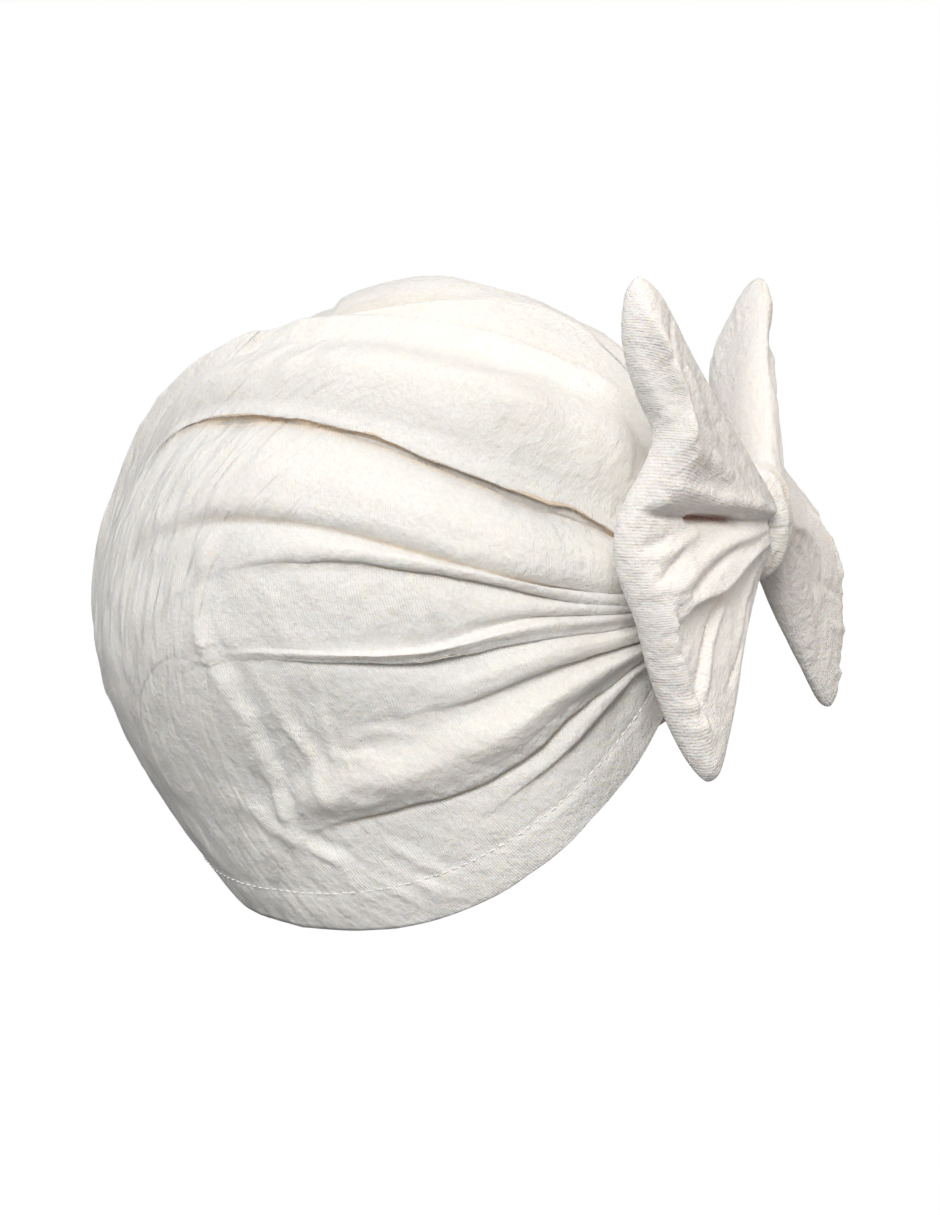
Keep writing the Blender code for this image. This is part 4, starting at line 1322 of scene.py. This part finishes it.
# The floor: how far down, the radii of its rings, how strong its white glow is, and the share of
# that glow in what the camera sees of it
FLOOR_DOWN = 340.0
FLOOR_RINGS = (300.0, 1000.0, 3000.0, 9000.0)
FLOOR_SIDES = 96
FLOOR_GLOW, FLOOR_GLOW_SHARE = 1.16, 0.85


def area_light(name, place, aim, size, power, colour):
    """A square soft light at a place, turned toward what it lights."""
    data = bpy.data.lights.new(name, "AREA")
    data.shape = "SQUARE"
    data.size = size
    data.energy = power
    data.color = colour
    turn = (Vector(place) - Vector(aim)).to_track_quat("Z", "Y").to_euler()
    into_scene(name, data, place, turn)


def make_studio():
    """The camera at the photograph's view, a pale floor, a white room and soft lights."""
    scene = bpy.context.scene
    back = Vector(toward(VIEW_ROUND, VIEW_UP).tolist())
    data = bpy.data.cameras.new("camera")
    data.lens = LENS
    data.sensor_width = 36.0
    data.clip_start = 0.02
    place = Vector(LOOK_AT) * MM + back * VIEW_DISTANCE * MM
    scene.camera = into_scene("camera", data, place, back.to_track_quat("Z", "Y").to_euler())
    scene.view_settings.view_transform = "Standard"
    scene.world = bpy.data.worlds.new("white_room")
    scene.world.use_nodes = True
    tree = scene.world.node_tree
    glow = tree.nodes["Background"]
    ahead = add_node(tree, "SeparateXYZ", [("Vector", add_node(tree, "TexCoord")["Generated"])])["Y"]
    room = [("Color", ROOM_TINT), ("Strength", ranged(tree, ahead, *ROOM_BY_Y))]
    set_inputs(tree, glow, room)
    white = add_node(tree, "Background", [("Color", WHITE), ("Strength", 1.0)])[0]
    seen = add_node(tree, "LightPath")["Is Camera Ray"]
    mix_into(tree, "World Output", seen, glow.outputs[0], white)
    make_floor()
    for row in LIGHTS:
        area_light(*row)


def make_floor():
    """A wide floor well below the hat: a flat disc that is dull grey to the light and mostly its own
    white glow to the camera."""
    turn = np.linspace(0, 2 * np.pi, FLOOR_SIDES, endpoint=False)
    radii = np.array(FLOOR_RINGS)[:, None]
    rings = np.broadcast_arrays(radii * np.cos(turn), radii * np.sin(turn), -FLOOR_DOWN)
    vertices = [*np.stack(rings, -1).reshape(-1, 3), (0, 0, -FLOOR_DOWN)]
    faces = [*ring_faces(len(radii), FLOOR_SIDES), *fan_faces(len(vertices) - 1, 0, FLOOR_SIDES)]
    mesh = new_mesh("floor", vertices, faces)
    material, tree, shader = new_material("pale_floor", FLOOR_SURFACE)
    bright = add_node(tree, "Emission", [("Color", WHITE), ("Strength", FLOOR_GLOW)])[0]
    seen = add_node(tree, "LightPath")["Is Camera Ray"]
    share = work_out(tree, "MULTIPLY", seen, FLOOR_GLOW_SHARE)
    mix_into(tree, "Material Output", share, shader.outputs[0], bright)
    mesh.materials.append(material)
    floor = into_scene("floor", mesh)


def main():
    """Makes the materials, the pieces and the studio."""
    groups = (jersey_group(), crinkle_group(), shade_and_tint_group())
    crown, hem, bow, knot = (jersey_material(name, groups) for name in JERSEYS)
    thread = new_material("hem_thread", THREAD_SURFACE)[0]
    outer, rays = make_crown(crown)
    make_hem(hem)
    make_stitches(thread, outer, rays)
    make_wing("bow_wing_right_cloth", "bow_wing_right", RIGHT_EDGE, RIGHT_FOLDS, -1, 51, bow)
    make_wing("bow_wing_left_cloth", "bow_wing_left", LEFT_EDGE, LEFT_FOLDS, 1, 61, bow)
    make_knot(knot)
    make_studio()


main()
